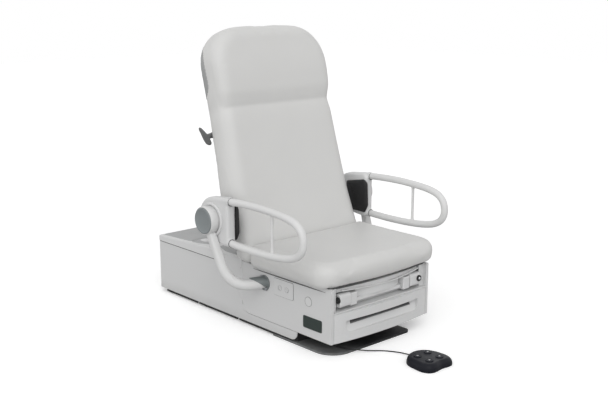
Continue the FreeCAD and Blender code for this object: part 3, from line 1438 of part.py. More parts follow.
fillSheet()
buildBase()
buildArms()
buildPins()
buildYoke()
buildShroud()
buildLid()
buildChassis()
buildSeatFrame()
buildSeatCushion()
backForm = backEnvelope()
buildBackCushion(backForm)
buildBackFrame()
buildHingePins()
buildBackShell()
buildRollCover(backForm)
buildLevers()
buildAssistArms()
buildRails()
buildDrawer()
buildExtension()
buildStirrups()
buildFittings()
buildFootControl()
buildCord()
buildElectrics()
checkAndExport()
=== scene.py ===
import bpy
import bmesh
import json
import math
import numpy as np
from mathutils import Matrix, Vector


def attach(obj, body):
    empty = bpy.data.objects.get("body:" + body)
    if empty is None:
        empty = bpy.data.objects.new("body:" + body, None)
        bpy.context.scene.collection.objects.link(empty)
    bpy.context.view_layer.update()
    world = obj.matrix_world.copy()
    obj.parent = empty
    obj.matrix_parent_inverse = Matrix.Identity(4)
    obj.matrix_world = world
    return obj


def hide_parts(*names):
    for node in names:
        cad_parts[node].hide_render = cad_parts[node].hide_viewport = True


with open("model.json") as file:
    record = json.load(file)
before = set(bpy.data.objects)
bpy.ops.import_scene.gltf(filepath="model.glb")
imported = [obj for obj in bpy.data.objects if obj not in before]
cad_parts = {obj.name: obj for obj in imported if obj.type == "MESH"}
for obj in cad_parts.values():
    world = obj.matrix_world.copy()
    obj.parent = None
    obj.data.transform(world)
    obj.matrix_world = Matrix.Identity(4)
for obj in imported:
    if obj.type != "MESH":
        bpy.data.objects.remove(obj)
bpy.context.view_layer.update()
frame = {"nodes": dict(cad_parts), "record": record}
nodes = frame["nodes"]
scene = bpy.context.scene
print("frame loaded:", len(nodes), "nodes")

viewpoint = {
    "location": (-2.850, -3.272, 1.490),
    "yaw": 42.14,      # degrees from +Y towards +X
    "pitch": 12.66,    # degrees down
    "roll": 0.07,
    "lens": 56.27, "sensor": 36,
}


def linked(name, data):
    # a new object in the scene that shows the data
    made = bpy.data.objects.new(name, data)
    scene.collection.objects.link(made)
    return made


def placeCamera(place):
    # the view axes: yaw turns round Z, pitch leans down, roll turns round the view itself
    yaw, pitch, roll = (math.radians(place[key]) for key in ("yaw", "pitch", "roll"))
    ahead = Vector((math.sin(yaw) * math.cos(pitch), math.cos(yaw) * math.cos(pitch), -math.sin(pitch)))
    level = Vector((math.cos(yaw), -math.sin(yaw), 0))
    above = level.cross(ahead)
    right = level * math.cos(roll) + above * math.sin(roll)
    up = above * math.cos(roll) - level * math.sin(roll)
    camera = linked("viewCamera", bpy.data.cameras.new("viewCamera"))
    camera.data.lens = place["lens"]
    camera.data.sensor_width = place["sensor"]
    matrix = Matrix((right, up, -ahead)).transposed().to_4x4()
    matrix.translation = place["location"]
    camera.matrix_world = matrix
    scene.camera = camera


placeCamera(viewpoint)
print("camera placed")


def addNode(tree, kind, values=None, **settings):
    # a shader node with its settings, then the plain values of its inputs
    made = tree.nodes.new("ShaderNode" + kind)
    for key, value in settings.items():
        setattr(made, key, value)
    for key, value in (values or {}).items():
        made.inputs[key].default_value = value
    return made


def wire(tree, *links):
    # each link names a node and its output, then a node and its input
    for source, output, target, entry in links:
        tree.links.new(source.outputs[output], target.inputs[entry])


def startGroup(name, inputs, outputs):
    # an empty node group with its named sockets and its two end nodes
    group = bpy.data.node_groups.new(name, "ShaderNodeTree")
    for label, kind, value in inputs:
        made = group.interface.new_socket(name=label, in_out="INPUT", socket_type="NodeSocket" + kind)
        made.default_value = value
    for label, kind in outputs:
        group.interface.new_socket(name=label, in_out="OUTPUT", socket_type="NodeSocket" + kind)
    return group, group.nodes.new("NodeGroupInput"), group.nodes.new("NodeGroupOutput")


def makeMottleGroup():
    # two colours mixed by broad soft noise, with a roughness that drifts along with it
    inputs = [("Colour", "Color", (0.8, 0.8, 0.8, 1)), ("Shade", "Color", (0.7, 0.7, 0.7, 1)),
              ("Scale", "Float", 4.0), ("Roughness", "Float", 0.5), ("Drift", "Float", 0.08)]
    group, start, end = startGroup("softMottle", inputs, [("Colour", "Color"), ("Roughness", "Float")])
    place = addNode(group, "TexCoord")
    noise = addNode(group, "TexNoise", {"Detail": 3})
    mix = addNode(group, "Mix", data_type="RGBA")
    spread = addNode(group, "MapRange")
    low = addNode(group, "Math", operation="SUBTRACT")
    high = addNode(group, "Math", operation="ADD")
    wire(group, (place, "Object", noise, "Vector"), (start, "Scale", noise, "Scale"),
         (noise, "Fac", mix, "Factor"), (start, "Colour", mix, "A"), (start, "Shade", mix, "B"),
         (start, "Roughness", low, 0), (start, "Drift", low, 1),
         (start, "Roughness", high, 0), (start, "Drift", high, 1),
         (noise, "Fac", spread, "Value"), (low, 0, spread, "To Min"), (high, 0, spread, "To Max"),
         (mix, "Result", end, "Colour"), (spread, "Result", end, "Roughness"))
    return group


def makeGrainGroup():
    # fine pebbled height: cell distance plus a little noise, both by scale
    inputs = [("Scale", "Float", 600.0), ("Pebble", "Float", 0.5)]
    group, start, end = startGroup("fineGrain", inputs, [("Height", "Float")])
    place = addNode(group, "TexCoord")
    cells = addNode(group, "TexVoronoi", feature="SMOOTH_F1")
    noise = addNode(group, "TexNoise", {"Detail": 2})
    mix = addNode(group, "Mix", data_type="FLOAT")
    for texture in (cells, noise):
        wire(group, (place, "Object", texture, "Vector"), (start, "Scale", texture, "Scale"))
    wire(group, (start, "Pebble", mix, "Factor"), (noise, "Fac", mix, "A"), (cells, "Distance", mix, "B"),
         (mix, "Result", end, "Height"))
    return group


def blendBy(group, start, end, mask, breaker, other):
    # the other colour's share is mask x breaker x amount; mask and breaker are each a node and its output
    broken = addNode(group, "Math", operation="MULTIPLY")
    share = addNode(group, "Math", operation="MULTIPLY")
    mix = addNode(group, "Mix", data_type="RGBA")
    wire(group, (*mask, broken, 0), (*breaker, broken, 1), (broken, 0, share, 0), (start, "Amount", share, 1),
         (share, 0, mix, "Factor"), (start, "Colour", mix, "A"), (start, other, mix, "B"),
         (mix, "Result", end, "Colour"))


def makeWearGroup():
    # rubbed edges: where the surface is sharply convex, broken up by noise, the worn colour shows
    inputs = [("Colour", "Color", (0.5, 0.5, 0.5, 1)), ("Worn", "Color", (0.7, 0.7, 0.7, 1)),
              ("Amount", "Float", 0.4)]
    group, start, end = startGroup("edgeRub", inputs, [("Colour", "Color")])
    shape = addNode(group, "NewGeometry")
    place = addNode(group, "TexCoord")
    noise = addNode(group, "TexNoise", {"Scale": 90})
    sharp = addNode(group, "MapRange", {"From Min": 0.53, "From Max": 0.64})
    wire(group, (place, "Object", noise, "Vector"), (shape, "Pointiness", sharp, "Value"))
    blendBy(group, start, end, (sharp, "Result"), (noise, "Fac"), "Worn")
    return group


def makeScuffAndLightGroup():
    # a second colour that gathers along one direction, full at From, gone at To, broken up by noise: scuffs
    # and dust near the floor on the shell, and a painted highlight on the foot plate
    inputs = [("Colour", "Color", (0.5, 0.5, 0.5, 1)), ("Scuff", "Color", (0.3, 0.3, 0.3, 1)),
              ("Along", "Vector", (0, 0, 1)), ("From", "Float", 0.02), ("To", "Float", 0.10),
              ("Amount", "Float", 0.3)]
    group, start, end = startGroup("lowScuff", inputs, [("Colour", "Color")])
    place = addNode(group, "TexCoord")
    noise = addNode(group, "TexNoise", {"Scale": 22, "Detail": 5})
    reach = addNode(group, "VectorMath", operation="DOT_PRODUCT")
    fade = addNode(group, "MapRange", {"To Min": 1, "To Max": 0}, interpolation_type="SMOOTHSTEP")
    rough = addNode(group, "MapRange", {"From Min": 0.3, "From Max": 0.7, "To Min": 0.6})
    wire(group, (place, "Object", noise, "Vector"), (place, "Object", reach, 0), (start, "Along", reach, 1),
         (reach, "Value", fade, "Value"), (start, "From", fade, "From Min"), (start, "To", fade, "From Max"),
         (noise, "Fac", rough, "Value"))
    blendBy(group, start, end, (fade, "Result"), (rough, "Result"), "Scuff")
    return group


mottleGroup = makeMottleGroup()
grainGroup = makeGrainGroup()
wearGroup = makeWearGroup()
scuffAndLightGroup = makeScuffAndLightGroup()

# colour and shade of the mottle, its scale, roughness and how far that drifts, scale of the grain, share of
# pebbles in it and its height in metres, then what only some finishes have: shader values, the worn colour
# of the edges with its amount, or scuffs and painted highlight by colour, direction, where they are full and
# gone, and amount
finishes = {
    "paleVinyl": ((0.640, 0.638, 0.628), (0.612, 0.611, 0.602), 5, 0.47, 0.05, 420, 0.75, 0.00022,
                  {"sheen": 0.10}),
    "shellEnamel": ((0.640, 0.641, 0.640), (0.622, 0.624, 0.625), 3, 0.40, 0.05, 330, 0.1, 0.00006,
                    {"scuff": ((0.40, 0.40, 0.39), (0, 0, 1), 0.018, 0.075, 0.30)}),
    "mouldedCover": ((0.650, 0.651, 0.650), (0.632, 0.634, 0.635), 4, 0.42, 0.06, 900, 0.55, 0.00008,
                     {"wear": ((0.74, 0.74, 0.74), 0.5)}),
    "railEnamel": ((0.680, 0.680, 0.676), (0.662, 0.663, 0.662), 6, 0.33, 0.05, 260, 0.05, 0.00005,
                   {"coat": 0.15, "wear": ((0.76, 0.76, 0.75), 0.4)}),
    "frameEnamel": ((0.012, 0.012, 0.013), (0.020, 0.020, 0.021), 8, 0.55, 0.10, 500, 0.3, 0.00012),
    # painted highlight: the foot plate's second colour, lighter towards its left edge, stands in for the
    # light and reflection the plate catches there
    "footPlateCoat": ((0.0065, 0.007, 0.008), (0.012, 0.012, 0.014), 7, 0.50, 0.10, 800, 0.6, 0.00015,
                      {"scuff": ((0.22, 0.225, 0.225), (1, 0.15, 0), -0.37, -0.16, 0.85)}),
    "zincSteel": ((0.45, 0.46, 0.48), (0.38, 0.39, 0.41), 20, 0.34, 0.10, 700, 0.2, 0.00004,
                  {"metallic": 1.0}),
    "polishedSteel": ((0.78, 0.79, 0.80), (0.70, 0.71, 0.73), 30, 0.14, 0.04, 900, 0.1, 0.00001,
                      {"metallic": 1.0}),
    "castGrey": ((0.205, 0.226, 0.226), (0.150, 0.168, 0.170), 22, 0.40, 0.10, 520, 0.5, 0.00018,
                 {"metallic": 0.30, "wear": ((0.38, 0.40, 0.41), 0.9)}),
    "capGrey": ((0.235, 0.258, 0.264), (0.205, 0.226, 0.232), 14, 0.42, 0.08, 1100, 0.5, 0.00008,
                {"wear": ((0.36, 0.38, 0.39), 0.7)}),
    "leverGrey": ((0.165, 0.166, 0.166), (0.110, 0.112, 0.113), 14, 0.42, 0.08, 900, 0.5, 0.00012,
                  {"wear": ((0.30, 0.30, 0.30), 0.8)}),
    "padBlack": ((0.007, 0.007, 0.0075), (0.011, 0.011, 0.012), 9, 0.55, 0.08, 520, 0.8, 0.00022,
                 {"sheen": 0.06}),
    "sealBlack": ((0.010, 0.010, 0.010), (0.017, 0.017, 0.017), 20, 0.7, 0.06, 900, 0.5, 0.00008),
    "sealGrey": ((0.300, 0.303, 0.305), (0.270, 0.273, 0.275), 20, 0.6, 0.06, 900, 0.4, 0.00006),
    # dark paint on the seat board, and painted shade in the drawer's slot and under the cushion's overhang
    "boardPaint": ((0.095, 0.096, 0.098), (0.120, 0.121, 0.123), 12, 0.7, 0.08, 300, 0.2, 0.00015),
    # painted shade: the darker grey of the sheets that darken the lid's top
    "lidMatGrey": ((0.430, 0.434, 0.435), (0.395, 0.400, 0.402), 10, 0.62, 0.06, 520, 0.9, 0.00030),
    "rollCoverVinyl": ((0.345, 0.350, 0.350), (0.315, 0.320, 0.322), 6, 0.52, 0.06, 420, 0.7, 0.00022),
    "outletGloss": ((0.650, 0.651, 0.650), (0.630, 0.632, 0.634), 6, 0.30, 0.04, 300, 0.1, 0.00003),
    "barePlateInk": ((0.014, 0.026, 0.022), (0.022, 0.036, 0.031), 9, 0.42, 0.05, 900, 0.3, 0.00004),
    "controlPlastic": ((0.0055, 0.006, 0.010), (0.010, 0.011, 0.017), 9, 0.38, 0.06, 900, 0.6, 0.00012,
                       {"specular": 0.20, "wear": ((0.03, 0.032, 0.04), 0.6)}),
    "buttonRubber": ((0.008, 0.009, 0.014), (0.013, 0.014, 0.020), 20, 0.50, 0.08, 1000, 0.6, 0.00010,
                     {"specular": 0.20}),
    "markInk": ((0.62, 0.62, 0.63), (0.54, 0.54, 0.55), 60, 0.5, 0.06, 1200, 0.4, 0.00003),
    "cordRubber": ((0.010, 0.010, 0.011), (0.016, 0.016, 0.018), 30, 0.50, 0.06, 1200, 0.4, 0.00005),
    "boxGrey": ((0.075, 0.078, 0.082), (0.055, 0.058, 0.062), 8, 0.50, 0.08, 700, 0.5, 0.00012),
}


def makeFinish(name, colour, shade, spot, roughness, drift, grain, pebble, height, more=None):
    # mottled colour, then worn edges, and scuffs and painted highlight where the finish has them, over a fine
    # grain in the bump
    more = more or {}
    material = bpy.data.materials.new(name)
    material.use_nodes = True
    tree = material.node_tree
    shader = tree.nodes["Principled BSDF"]
    values = {"Colour": (*colour, 1), "Shade": (*shade, 1), "Scale": spot,
              "Roughness": roughness, "Drift": drift}
    mottle = tint = addNode(tree, "Group", values, node_tree=mottleGroup)
    if "wear" in more:
        worn, amount = more["wear"]
        rub = addNode(tree, "Group", {"Worn": (*worn, 1), "Amount": amount}, node_tree=wearGroup)
        wire(tree, (tint, "Colour", rub, "Colour"))
        tint = rub
    # a second colour along a direction: scuffs on the shell, a painted highlight on the foot plate
    if "scuff" in more:
        alongColour, along, full, gone, amount = more["scuff"]
        values = {"Scuff": (*alongColour, 1), "Along": along, "From": full, "To": gone, "Amount": amount}
        mark = addNode(tree, "Group", values, node_tree=scuffAndLightGroup)
        wire(tree, (tint, "Colour", mark, "Colour"))
        tint = mark
    pebbles = addNode(tree, "Group", {"Scale": grain, "Pebble": pebble}, node_tree=grainGroup)
    bump = addNode(tree, "Bump", {"Distance": height, "Strength": 1.0})
    for key, entry, usual in (("metallic", "Metallic", 0.0), ("coat", "Coat Weight", 0.0),
                              ("sheen", "Sheen Weight", 0.0), ("specular", "Specular IOR Level", 0.5)):
        shader.inputs[entry].default_value = more.get(key, usual)
    wire(tree, (tint, "Colour", shader, "Base Color"), (mottle, "Roughness", shader, "Roughness"),
         (pebbles, "Height", bump, "Height"), (bump, "Normal", shader, "Normal"))
    return material


materials = {name: makeFinish(name, *look) for name, look in finishes.items()}
print("finishes made:", len(materials))

# each finish's nodes, a left and right pair by its common name
nodesByFinish = {
    "footPlateCoat": "foot_plate",
    "frameEnamel": "base_frame pivot_stand lift_arm lift_link lift_yoke seat_frame back_frame",
    "zincSteel": "base_pivot_pins yoke_pivot_pins back_hinge_pins lever_posts drawer_slides slide_guides",
    "shellEnamel": "base_shroud chassis_shell",
    "mouldedCover": "rear_lid back_shell drawer_front drawer_tray leg_extension side_plug rail_housing "
                    "stirrup_bar foot_cup",
    "boardPaint": "seat_board",
    "paleVinyl": "seat_cushion back_cushion",
    "rollCoverVinyl": "roll_cover",
    "outletGloss": "outlet_plate outlet_sockets",
    "barePlateInk": "bare_plate",
    "controlPlastic": "foot_control",
    "cordRubber": "foot_cord",
    "boxGrey": "control_box",
    "buttonRubber": "pedal_seat_up pedal_seat_down pedal_back_up pedal_back_down",
    "railEnamel": "assist_arm assist_rail",
    "castGrey": "arm_bracket",
    "capGrey": "hub_cap",
    "padBlack": "levelling_feet rail_pad clamp_knob",
    "leverGrey": "release_lever",
}
finishByStem = {stem: name for name, stems in nodesByFinish.items() for stem in stems.split()}
bodyOf = {node: body for body, members in frame["record"]["behaviour"]["bodies"].items() for node in members}


def finishOf(node):
    # the material of a node, or of the pair that it belongs to
    stem = node.replace("_left", "").replace("_right", "")
    return materials[finishByStem[stem]]


def dress(piece, material):
    # the material in place of any that the mesh had
    piece.data.materials.clear()
    piece.data.materials.append(material)


for node, piece in nodes.items():
    dress(piece, finishOf(node))


def standFor(piece, node):
    # the piece takes the node's body and finish, and the node is hidden
    dress(piece, finishOf(node))
    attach(piece, bodyOf[node])
    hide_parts(node)


def goWith(piece, node, finish):
    # a small extra piece that rides with a node that stays
    dress(piece, materials[finish])
    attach(piece, bodyOf[node])


def tidyMesh(mesh, near=1e-6, turnOut=True):
    # doubles merged and, where asked, faces turned outwards
    work = bmesh.new()
    work.from_mesh(mesh)
    bmesh.ops.remove_doubles(work, verts=work.verts, dist=near)
    if turnOut:
        bmesh.ops.recalc_face_normals(work, faces=work.faces)
    work.to_mesh(mesh)
    work.free()


def readVectors(mesh, key="co"):
    # every vertex's place, or its "normal", one row each
    rows = np.empty(len(mesh.vertices) * 3)
    mesh.vertices.foreach_get(key, rows)
    return rows.reshape(-1, 3)


def writePoints(mesh, spots):
    # every vertex moved to its row
    mesh.vertices.foreach_set("co", np.ascontiguousarray(spots).ravel())
    mesh.update()


def finished(piece):
    # the mesh as the modifiers leave it
    bpy.context.view_layer.update()
    return bpy.data.meshes.new_from_object(piece.evaluated_get(bpy.context.evaluated_depsgraph_get()))


def settle(piece):
    # modifiers become the mesh
    done, old = finished(piece), piece.data
    piece.modifiers.clear()
    piece.data = done
    bpy.data.meshes.remove(old)


cord = {
    "radius": 0.0025,
    "route": [(-0.210, -0.404, 0.025), (-0.210, -0.444, 0.024), (-0.209, -0.492, 0.015),
              (-0.206, -0.545, 0.0128), (-0.197, -0.594, 0.0128), (-0.170, -0.636, 0.0126),
              (-0.124, -0.668, 0.0054), (-0.076, -0.700, 0.0028), (-0.046, -0.745, 0.0028),
              (-0.034, -0.790, 0.005), (-0.036, -0.836, 0.010)],
}


def makeCord(look):
    # a NURBS spline of order 3 drawn by the route's points, measured bare and then given its thickness
    curve = bpy.data.curves.new("controlCord", "CURVE")
    curve.dimensions = "3D"
    spline = curve.splines.new("NURBS")
    spline.points.add(len(look["route"]) - 1)
    points = np.c_[np.array(look["route"]), np.ones(len(look["route"]))]
    spline.points.foreach_set("co", points.ravel())
    spline.order_u = 3
    spline.use_endpoint_u = True
    spline.resolution_u = 16
    bare = linked("controlCord", curve)
    line = finished(bare)
    length = float(np.linalg.norm(np.diff(readVectors(line), axis=0), axis=1).sum())
    bpy.data.meshes.remove(line)
    curve.bevel_depth = look["radius"]
    curve.bevel_resolution = 4
    curve.use_fill_caps = True
    curve.materials.append(materials["cordRubber"])
    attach(bare, "base")
    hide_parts("foot_cord")
    print("cord length", round(length, 3))


makeCord(cord)


def gridMesh(name, spots, looped=False, capped=True, ringed=True):
    # spots is rows x columns x 3: quads join neighbours, each row closes on itself and open ends get a fan
    rows, columns = spots.shape[:2]
    index = np.arange(rows * columns).reshape(rows, columns)
    near, far = (index, np.roll(index, -1, 0)) if looped else (index[:-1], index[1:])
    quads = np.stack([near, np.roll(near, -1, 1), np.roll(far, -1, 1), far], -1)
    points = spots.reshape(-1, 3)
    faces = (quads if ringed else quads[:, :-1]).reshape(-1, 4).tolist()
    if capped and not looped:
        for ring in (index[0], index[-1]):
            faces += np.stack([np.full(columns, len(points)), ring, np.roll(ring, -1)], -1).tolist()
            points = np.vstack([points, points[ring].mean(0)])
    mesh = bpy.data.meshes.new(name)
    mesh.from_pydata(points.tolist(), [], faces)
    tidyMesh(mesh)
    mesh.shade_smooth()
    return linked(name, mesh)


def joined(name, pieces):
    # several meshes made one piece
    work = bmesh.new()
    for piece in pieces:
        work.from_mesh(piece.data)
    mesh = bpy.data.meshes.new(name)
    work.to_mesh(mesh)
    work.free()
    for piece in pieces:
        old = piece.data
        bpy.data.objects.remove(piece)
        bpy.data.meshes.remove(old)
    mesh.shade_smooth()
    return linked(name, mesh)


def mergedCopy(node, name):
    # the node's triangles joined into one closed mesh
    mesh = nodes[node].data.copy()
    tidyMesh(mesh, near=1e-5, turnOut=False)
    mesh.name = name
    return linked(name, mesh)


def evened(piece, voxel, ease):
    # voxel remesh, then light smoothing, so that every edge comes out rounded as moulded parts are
    remesh = piece.modifiers.new("even", "REMESH")
    remesh.mode = "VOXEL"
    remesh.voxel_size = voxel
    remesh.use_smooth_shade = True
    settle(piece)
    smooth = piece.modifiers.new("ease", "CORRECTIVE_SMOOTH")
    smooth.use_only_smooth = True
    smooth.iterations = ease
    smooth.factor = 0.5
    settle(piece)
    piece.data.shade_smooth()


def walled(piece, thick, offset=0):
    # a sheet gets its thickness, half to each side or, at offset -1, all of it behind
    wall = piece.modifiers.new("wall", "SOLIDIFY")
    wall.thickness = thick
    wall.offset = offset
    settle(piece)


def unit(vectors):
    # each vector over its own length
    return vectors / np.linalg.norm(vectors, axis=-1, keepdims=True)


def eased(corners, cut, steps=8):
    # every inner corner becomes a parabola between the points that lie cut away from it on its two runs
    corners = np.asarray(corners, float)
    before, at, after = corners[:-2], corners[1:-1], corners[2:]
    cut = np.broadcast_to(cut, len(at))[:, None]
    start = (at + unit(before - at) * cut)[:, None]
    end = (at + unit(after - at) * cut)[:, None]
    t = np.linspace(0, 1, steps)[None, :, None]
    arcs = (1 - t) ** 2 * start + 2 * t * (1 - t) * at[:, None] + t ** 2 * end
    return np.vstack([corners[:1], arcs.reshape(-1, corners.shape[1]), corners[-1:]])


def evenLine(line, count):
    # the line's points spread again at equal lengths along it
    far = np.r_[0, np.cumsum(np.linalg.norm(np.diff(line, axis=0), axis=1))]
    where = np.linspace(0, far[-1], count)
    return np.stack([np.interp(where, far, column) for column in line.T], 1)


def flowing(spots, steps):
    # a cubic between neighbours whose slope at each point runs parallel to the line past it
    spots = np.asarray(spots, float)
    wide = np.vstack([2 * spots[0] - spots[1], spots, 2 * spots[-1] - spots[-2]])
    a, b, c, d = (block[:, None] for block in (wide[:-3], wide[1:-2], wide[2:-1], wide[3:]))
    t = (np.arange(steps) / steps)[None, :, None]
    bend, twist = 2 * a - 5 * b + 4 * c - d, 3 * b - a - 3 * c + d
    line = 0.5 * (2 * b + (c - a) * t + bend * t ** 2 + twist * t ** 3)
    return np.vstack([line.reshape(-1, spots.shape[1]), spots[-1:]])


def carried(line, across, up, plane, sides=28, power=1.0):
    # an oval of half-widths across and up carried along the line; plane is the direction that across lies
    # along, and a power under 1 squares the oval's corners
    line = np.asarray(line, float)
    ahead = unit(np.gradient(line, axis=0))
    plane = np.broadcast_to(np.asarray(plane, float), line.shape)
    first = unit(plane - ahead * (plane * ahead).sum(1, keepdims=True))
    second = np.cross(ahead, first)
    turn = np.linspace(0, 2 * np.pi, sides, endpoint=False)
    power = np.broadcast_to(power, len(line))[:, None]
    waves = np.cos(turn), np.sin(turn)
    cosine, sine = ((np.sign(wave) * np.abs(wave) ** power)[..., None] for wave in waves)
    across, up = (np.broadcast_to(half, len(line))[:, None, None] for half in (across, up))
    return line[:, None] + first[:, None] * cosine * across + second[:, None] * sine * up


askew = (0.31, 0.52, 0.80)    # parallel to no axis that anything here turns round


def turned(profile, centre, axis, sides=56):
    # a profile of (radius, height) pairs turned round the axis through the centre
    radius, height = (column[:, None, None] for column in np.asarray(profile, float).T)
    axis = np.asarray(axis, float)
    first = unit(np.cross(axis, askew))
    second = np.cross(axis, first)
    turn = np.linspace(0, 2 * np.pi, sides, endpoint=False)[:, None]
    ring = first * np.cos(turn) + second * np.sin(turn)
    return np.asarray(centre, float) + axis * height + ring * radius


def roundedPlan(halfLong, halfHigh, corner, steps=7):
    # a rectangle's outline whose corners are quarter circles, anticlockwise
    turn = (np.linspace(0, np.pi / 2, steps) + np.arange(4)[:, None] * np.pi / 2).ravel()
    middleLong = np.repeat([1, -1, -1, 1], steps) * (halfLong - corner)
    middleHigh = np.repeat([1, 1, -1, -1], steps) * (halfHigh - corner)
    return np.c_[middleLong + corner * np.cos(turn), middleHigh + corner * np.sin(turn)]


def scaledPlans(plan, insets, middle=(0, 0)):
    # the outline drawn towards its middle by each inset, one ring for each
    reach = np.linalg.norm(plan, axis=1, keepdims=True)
    return np.stack([plan * (1 - inset / reach) + middle for inset in insets])


def slab(plan, centre, first, second, away, thick, edge, steps=5):
    # an outline raised along away by thick, its rim eased inwards by edge over a quarter circle, and one more
    # ring on the flat top, three edges in
    first, second, away = (np.asarray(axis, float) for axis in (first, second, away))
    turn = np.linspace(0, np.pi / 2, steps)
    flat = scaledPlans(np.asarray(plan, float), np.r_[0, edge * (1 - np.cos(turn)), edge * 3])
    height = np.r_[0, thick - edge + edge * np.sin(turn), thick][:, None, None]
    return np.asarray(centre, float) + flat[..., :1] * first + flat[..., 1:] * second + height * away


def hump(distance, wide):
    # a bell curve: 1 at distance 0, about a third at the width
    return np.exp(-(distance / wide) ** 2)


def rising(value, start, end):
    # a smooth step from 0 at start to 1 at end
    share = np.clip((value - start) / (end - start), 0, 1)
    return share * share * (3 - 2 * share)


# pairs are worked out on the -X side, which is the left one, and turned over for the right
mirrored = {"left": (1, 1, 1), "right": (-1, 1, 1)}
alongX, alongY, alongZ, outwards = (1, 0, 0), (0, 1, 0), (0, 0, 1), (-1, 0, 0)


# what both cushions share: smoothing after the remesh, and the cloth under pressure
stuffing = {"ease": 4, "pressure": 3.5, "tension": 30, "bending": 6, "quality": 4, "frames": 12}


def inflate(piece, cap):
    # cloth under pressure from frame 1 on, then each point's travel is capped
    before = readVectors(piece.data)
    cloth = piece.modifiers.new("inflate", "CLOTH")
    cloth.settings.use_pressure = True
    cloth.settings.uniform_pressure_force = stuffing["pressure"]
    cloth.settings.effector_weights.gravity = 0
    cloth.settings.tension_stiffness = stuffing["tension"]
    cloth.settings.bending_stiffness = stuffing["bending"]
    cloth.settings.quality = stuffing["quality"]
    cloth.point_cache.frame_start = 1
    cloth.point_cache.frame_end = stuffing["frames"]
    for step in range(1, stuffing["frames"] + 1):
        scene.frame_set(step)
    bpy.context.view_layer.update()
    shaped = piece.evaluated_get(bpy.context.evaluated_depsgraph_get())
    travel = readVectors(shaped.data) - before
    piece.modifiers.clear()
    far = np.linalg.norm(travel, axis=1, keepdims=True)
    travel *= np.minimum(1.0, cap / np.maximum(far, 1e-9))
    writePoints(piece.data, before + travel)
    scene.frame_set(1)


def stuff(piece, look):
    # remesh, pressure, then one subdivision
    evened(piece, look["voxel"], stuffing["ease"])
    inflate(piece, look["cap"])
    finer = piece.modifiers.new("finer", "SUBSURF")
    finer.levels = finer.render_levels = 1
    settle(piece)
    piece.data.shade_smooth()


seatPad = {
    "voxel": 0.008, "cap": 0.005, "fill": 0.9,
    # past the box's sides and front, eased in over soft, the skirt sags by fall between the two heights
    "sag": {"fall": 0.0075, "side": 0.300, "front": 0.618, "soft": 0.02, "full": 0.315, "none": 0.345},
}


def makeSeatPad(look):
    # the cushion under pressure; its skirt past the box's sides and front sags a little over the edge
    piece = mergedCopy("seat_cushion", "seatPad")
    stuff(piece, look)
    spots = readVectors(piece.data)
    sag = look["sag"]
    past = np.maximum(rising(np.abs(spots[:, 0]), sag["side"], sag["side"] + sag["soft"]),
                      rising(-spots[:, 1], sag["front"], sag["front"] + sag["soft"]))
    spots[:, 2] -= sag["fall"] * past * rising(-spots[:, 2], -sag["none"], -sag["full"])
    writePoints(piece.data, spots)
    standFor(piece, "seat_cushion")
    print("seat pad:", len(piece.data.vertices), "points")


backPad = {
    "voxel": 0.0108, "cap": 0.004, "fill": 0.9,
    # the core fills the head end behind the padding; its corners' radius is this share of its half length
    "core": {"low": (-0.316, 0.748, -0.094), "high": (0.316, 0.985, -0.020), "round": 0.98, "steps": 12},
    "hinge": (-0.105, 0.350), "tilt": 75,
    "front": {"from": -0.01, "over": 0.03},    # where the swells set in, forward of the hinge plane
    "crease": {"along": 0.644, "depth": 0.0030, "wide": 0.014, "pull": 0.004, "pullWidths": 3},
    "headBulge": {"from": 0.640, "to": 0.720, "rise": 0.0085, "endFrom": 0.78, "endTo": 0.95},
    "tail": {"from": 0.060, "to": -0.010, "inner": 0.304, "outer": 0.320, "reach": 0.045, "behind": -0.010,
             "soft": 0.06},
    # clear of the base when the back lies flat
    "skirt": {"inner": 0.3052, "margin": 0.02, "behind": -0.048, "reach": 0.740},
    "hipBulge": {"along": 0.12, "rise": 0.003, "wide": 0.07},
}


def backPlaces(spots, look):
    # distance along the back from the hinge, and forward of the hinge plane
    tilt = math.radians(look["tilt"])
    y, z = spots[:, 1] - look["hinge"][0], spots[:, 2] - look["hinge"][1]
    return y * math.cos(tilt) + z * math.sin(tilt), z * math.cos(tilt) - y * math.sin(tilt)


def backSpots(across, along, forward, look):
    # back to the shared frame from the back's own places
    tilt = math.radians(look["tilt"])
    y = look["hinge"][0] + along * math.cos(tilt) - forward * math.sin(tilt)
    z = look["hinge"][1] + along * math.sin(tilt) + forward * math.cos(tilt)
    return np.stack([across, y, z], -1)


def backSwells(along, forward, look):
    # how far the back's front stands out: the head pillow and the hips, less the crease between
    crease, head, hip, front = look["crease"], look["headBulge"], look["hipBulge"], look["front"]
    facing = np.clip((forward - front["from"]) / front["over"], 0, 1)
    pillow = rising(along, head["from"], head["to"]) * (1 - rising(along, head["endFrom"], head["endTo"]))
    lift = head["rise"] * pillow + hip["rise"] * hump(along - hip["along"], hip["wide"])
    return (lift - crease["depth"] * hump(along - crease["along"], crease["wide"])) * facing


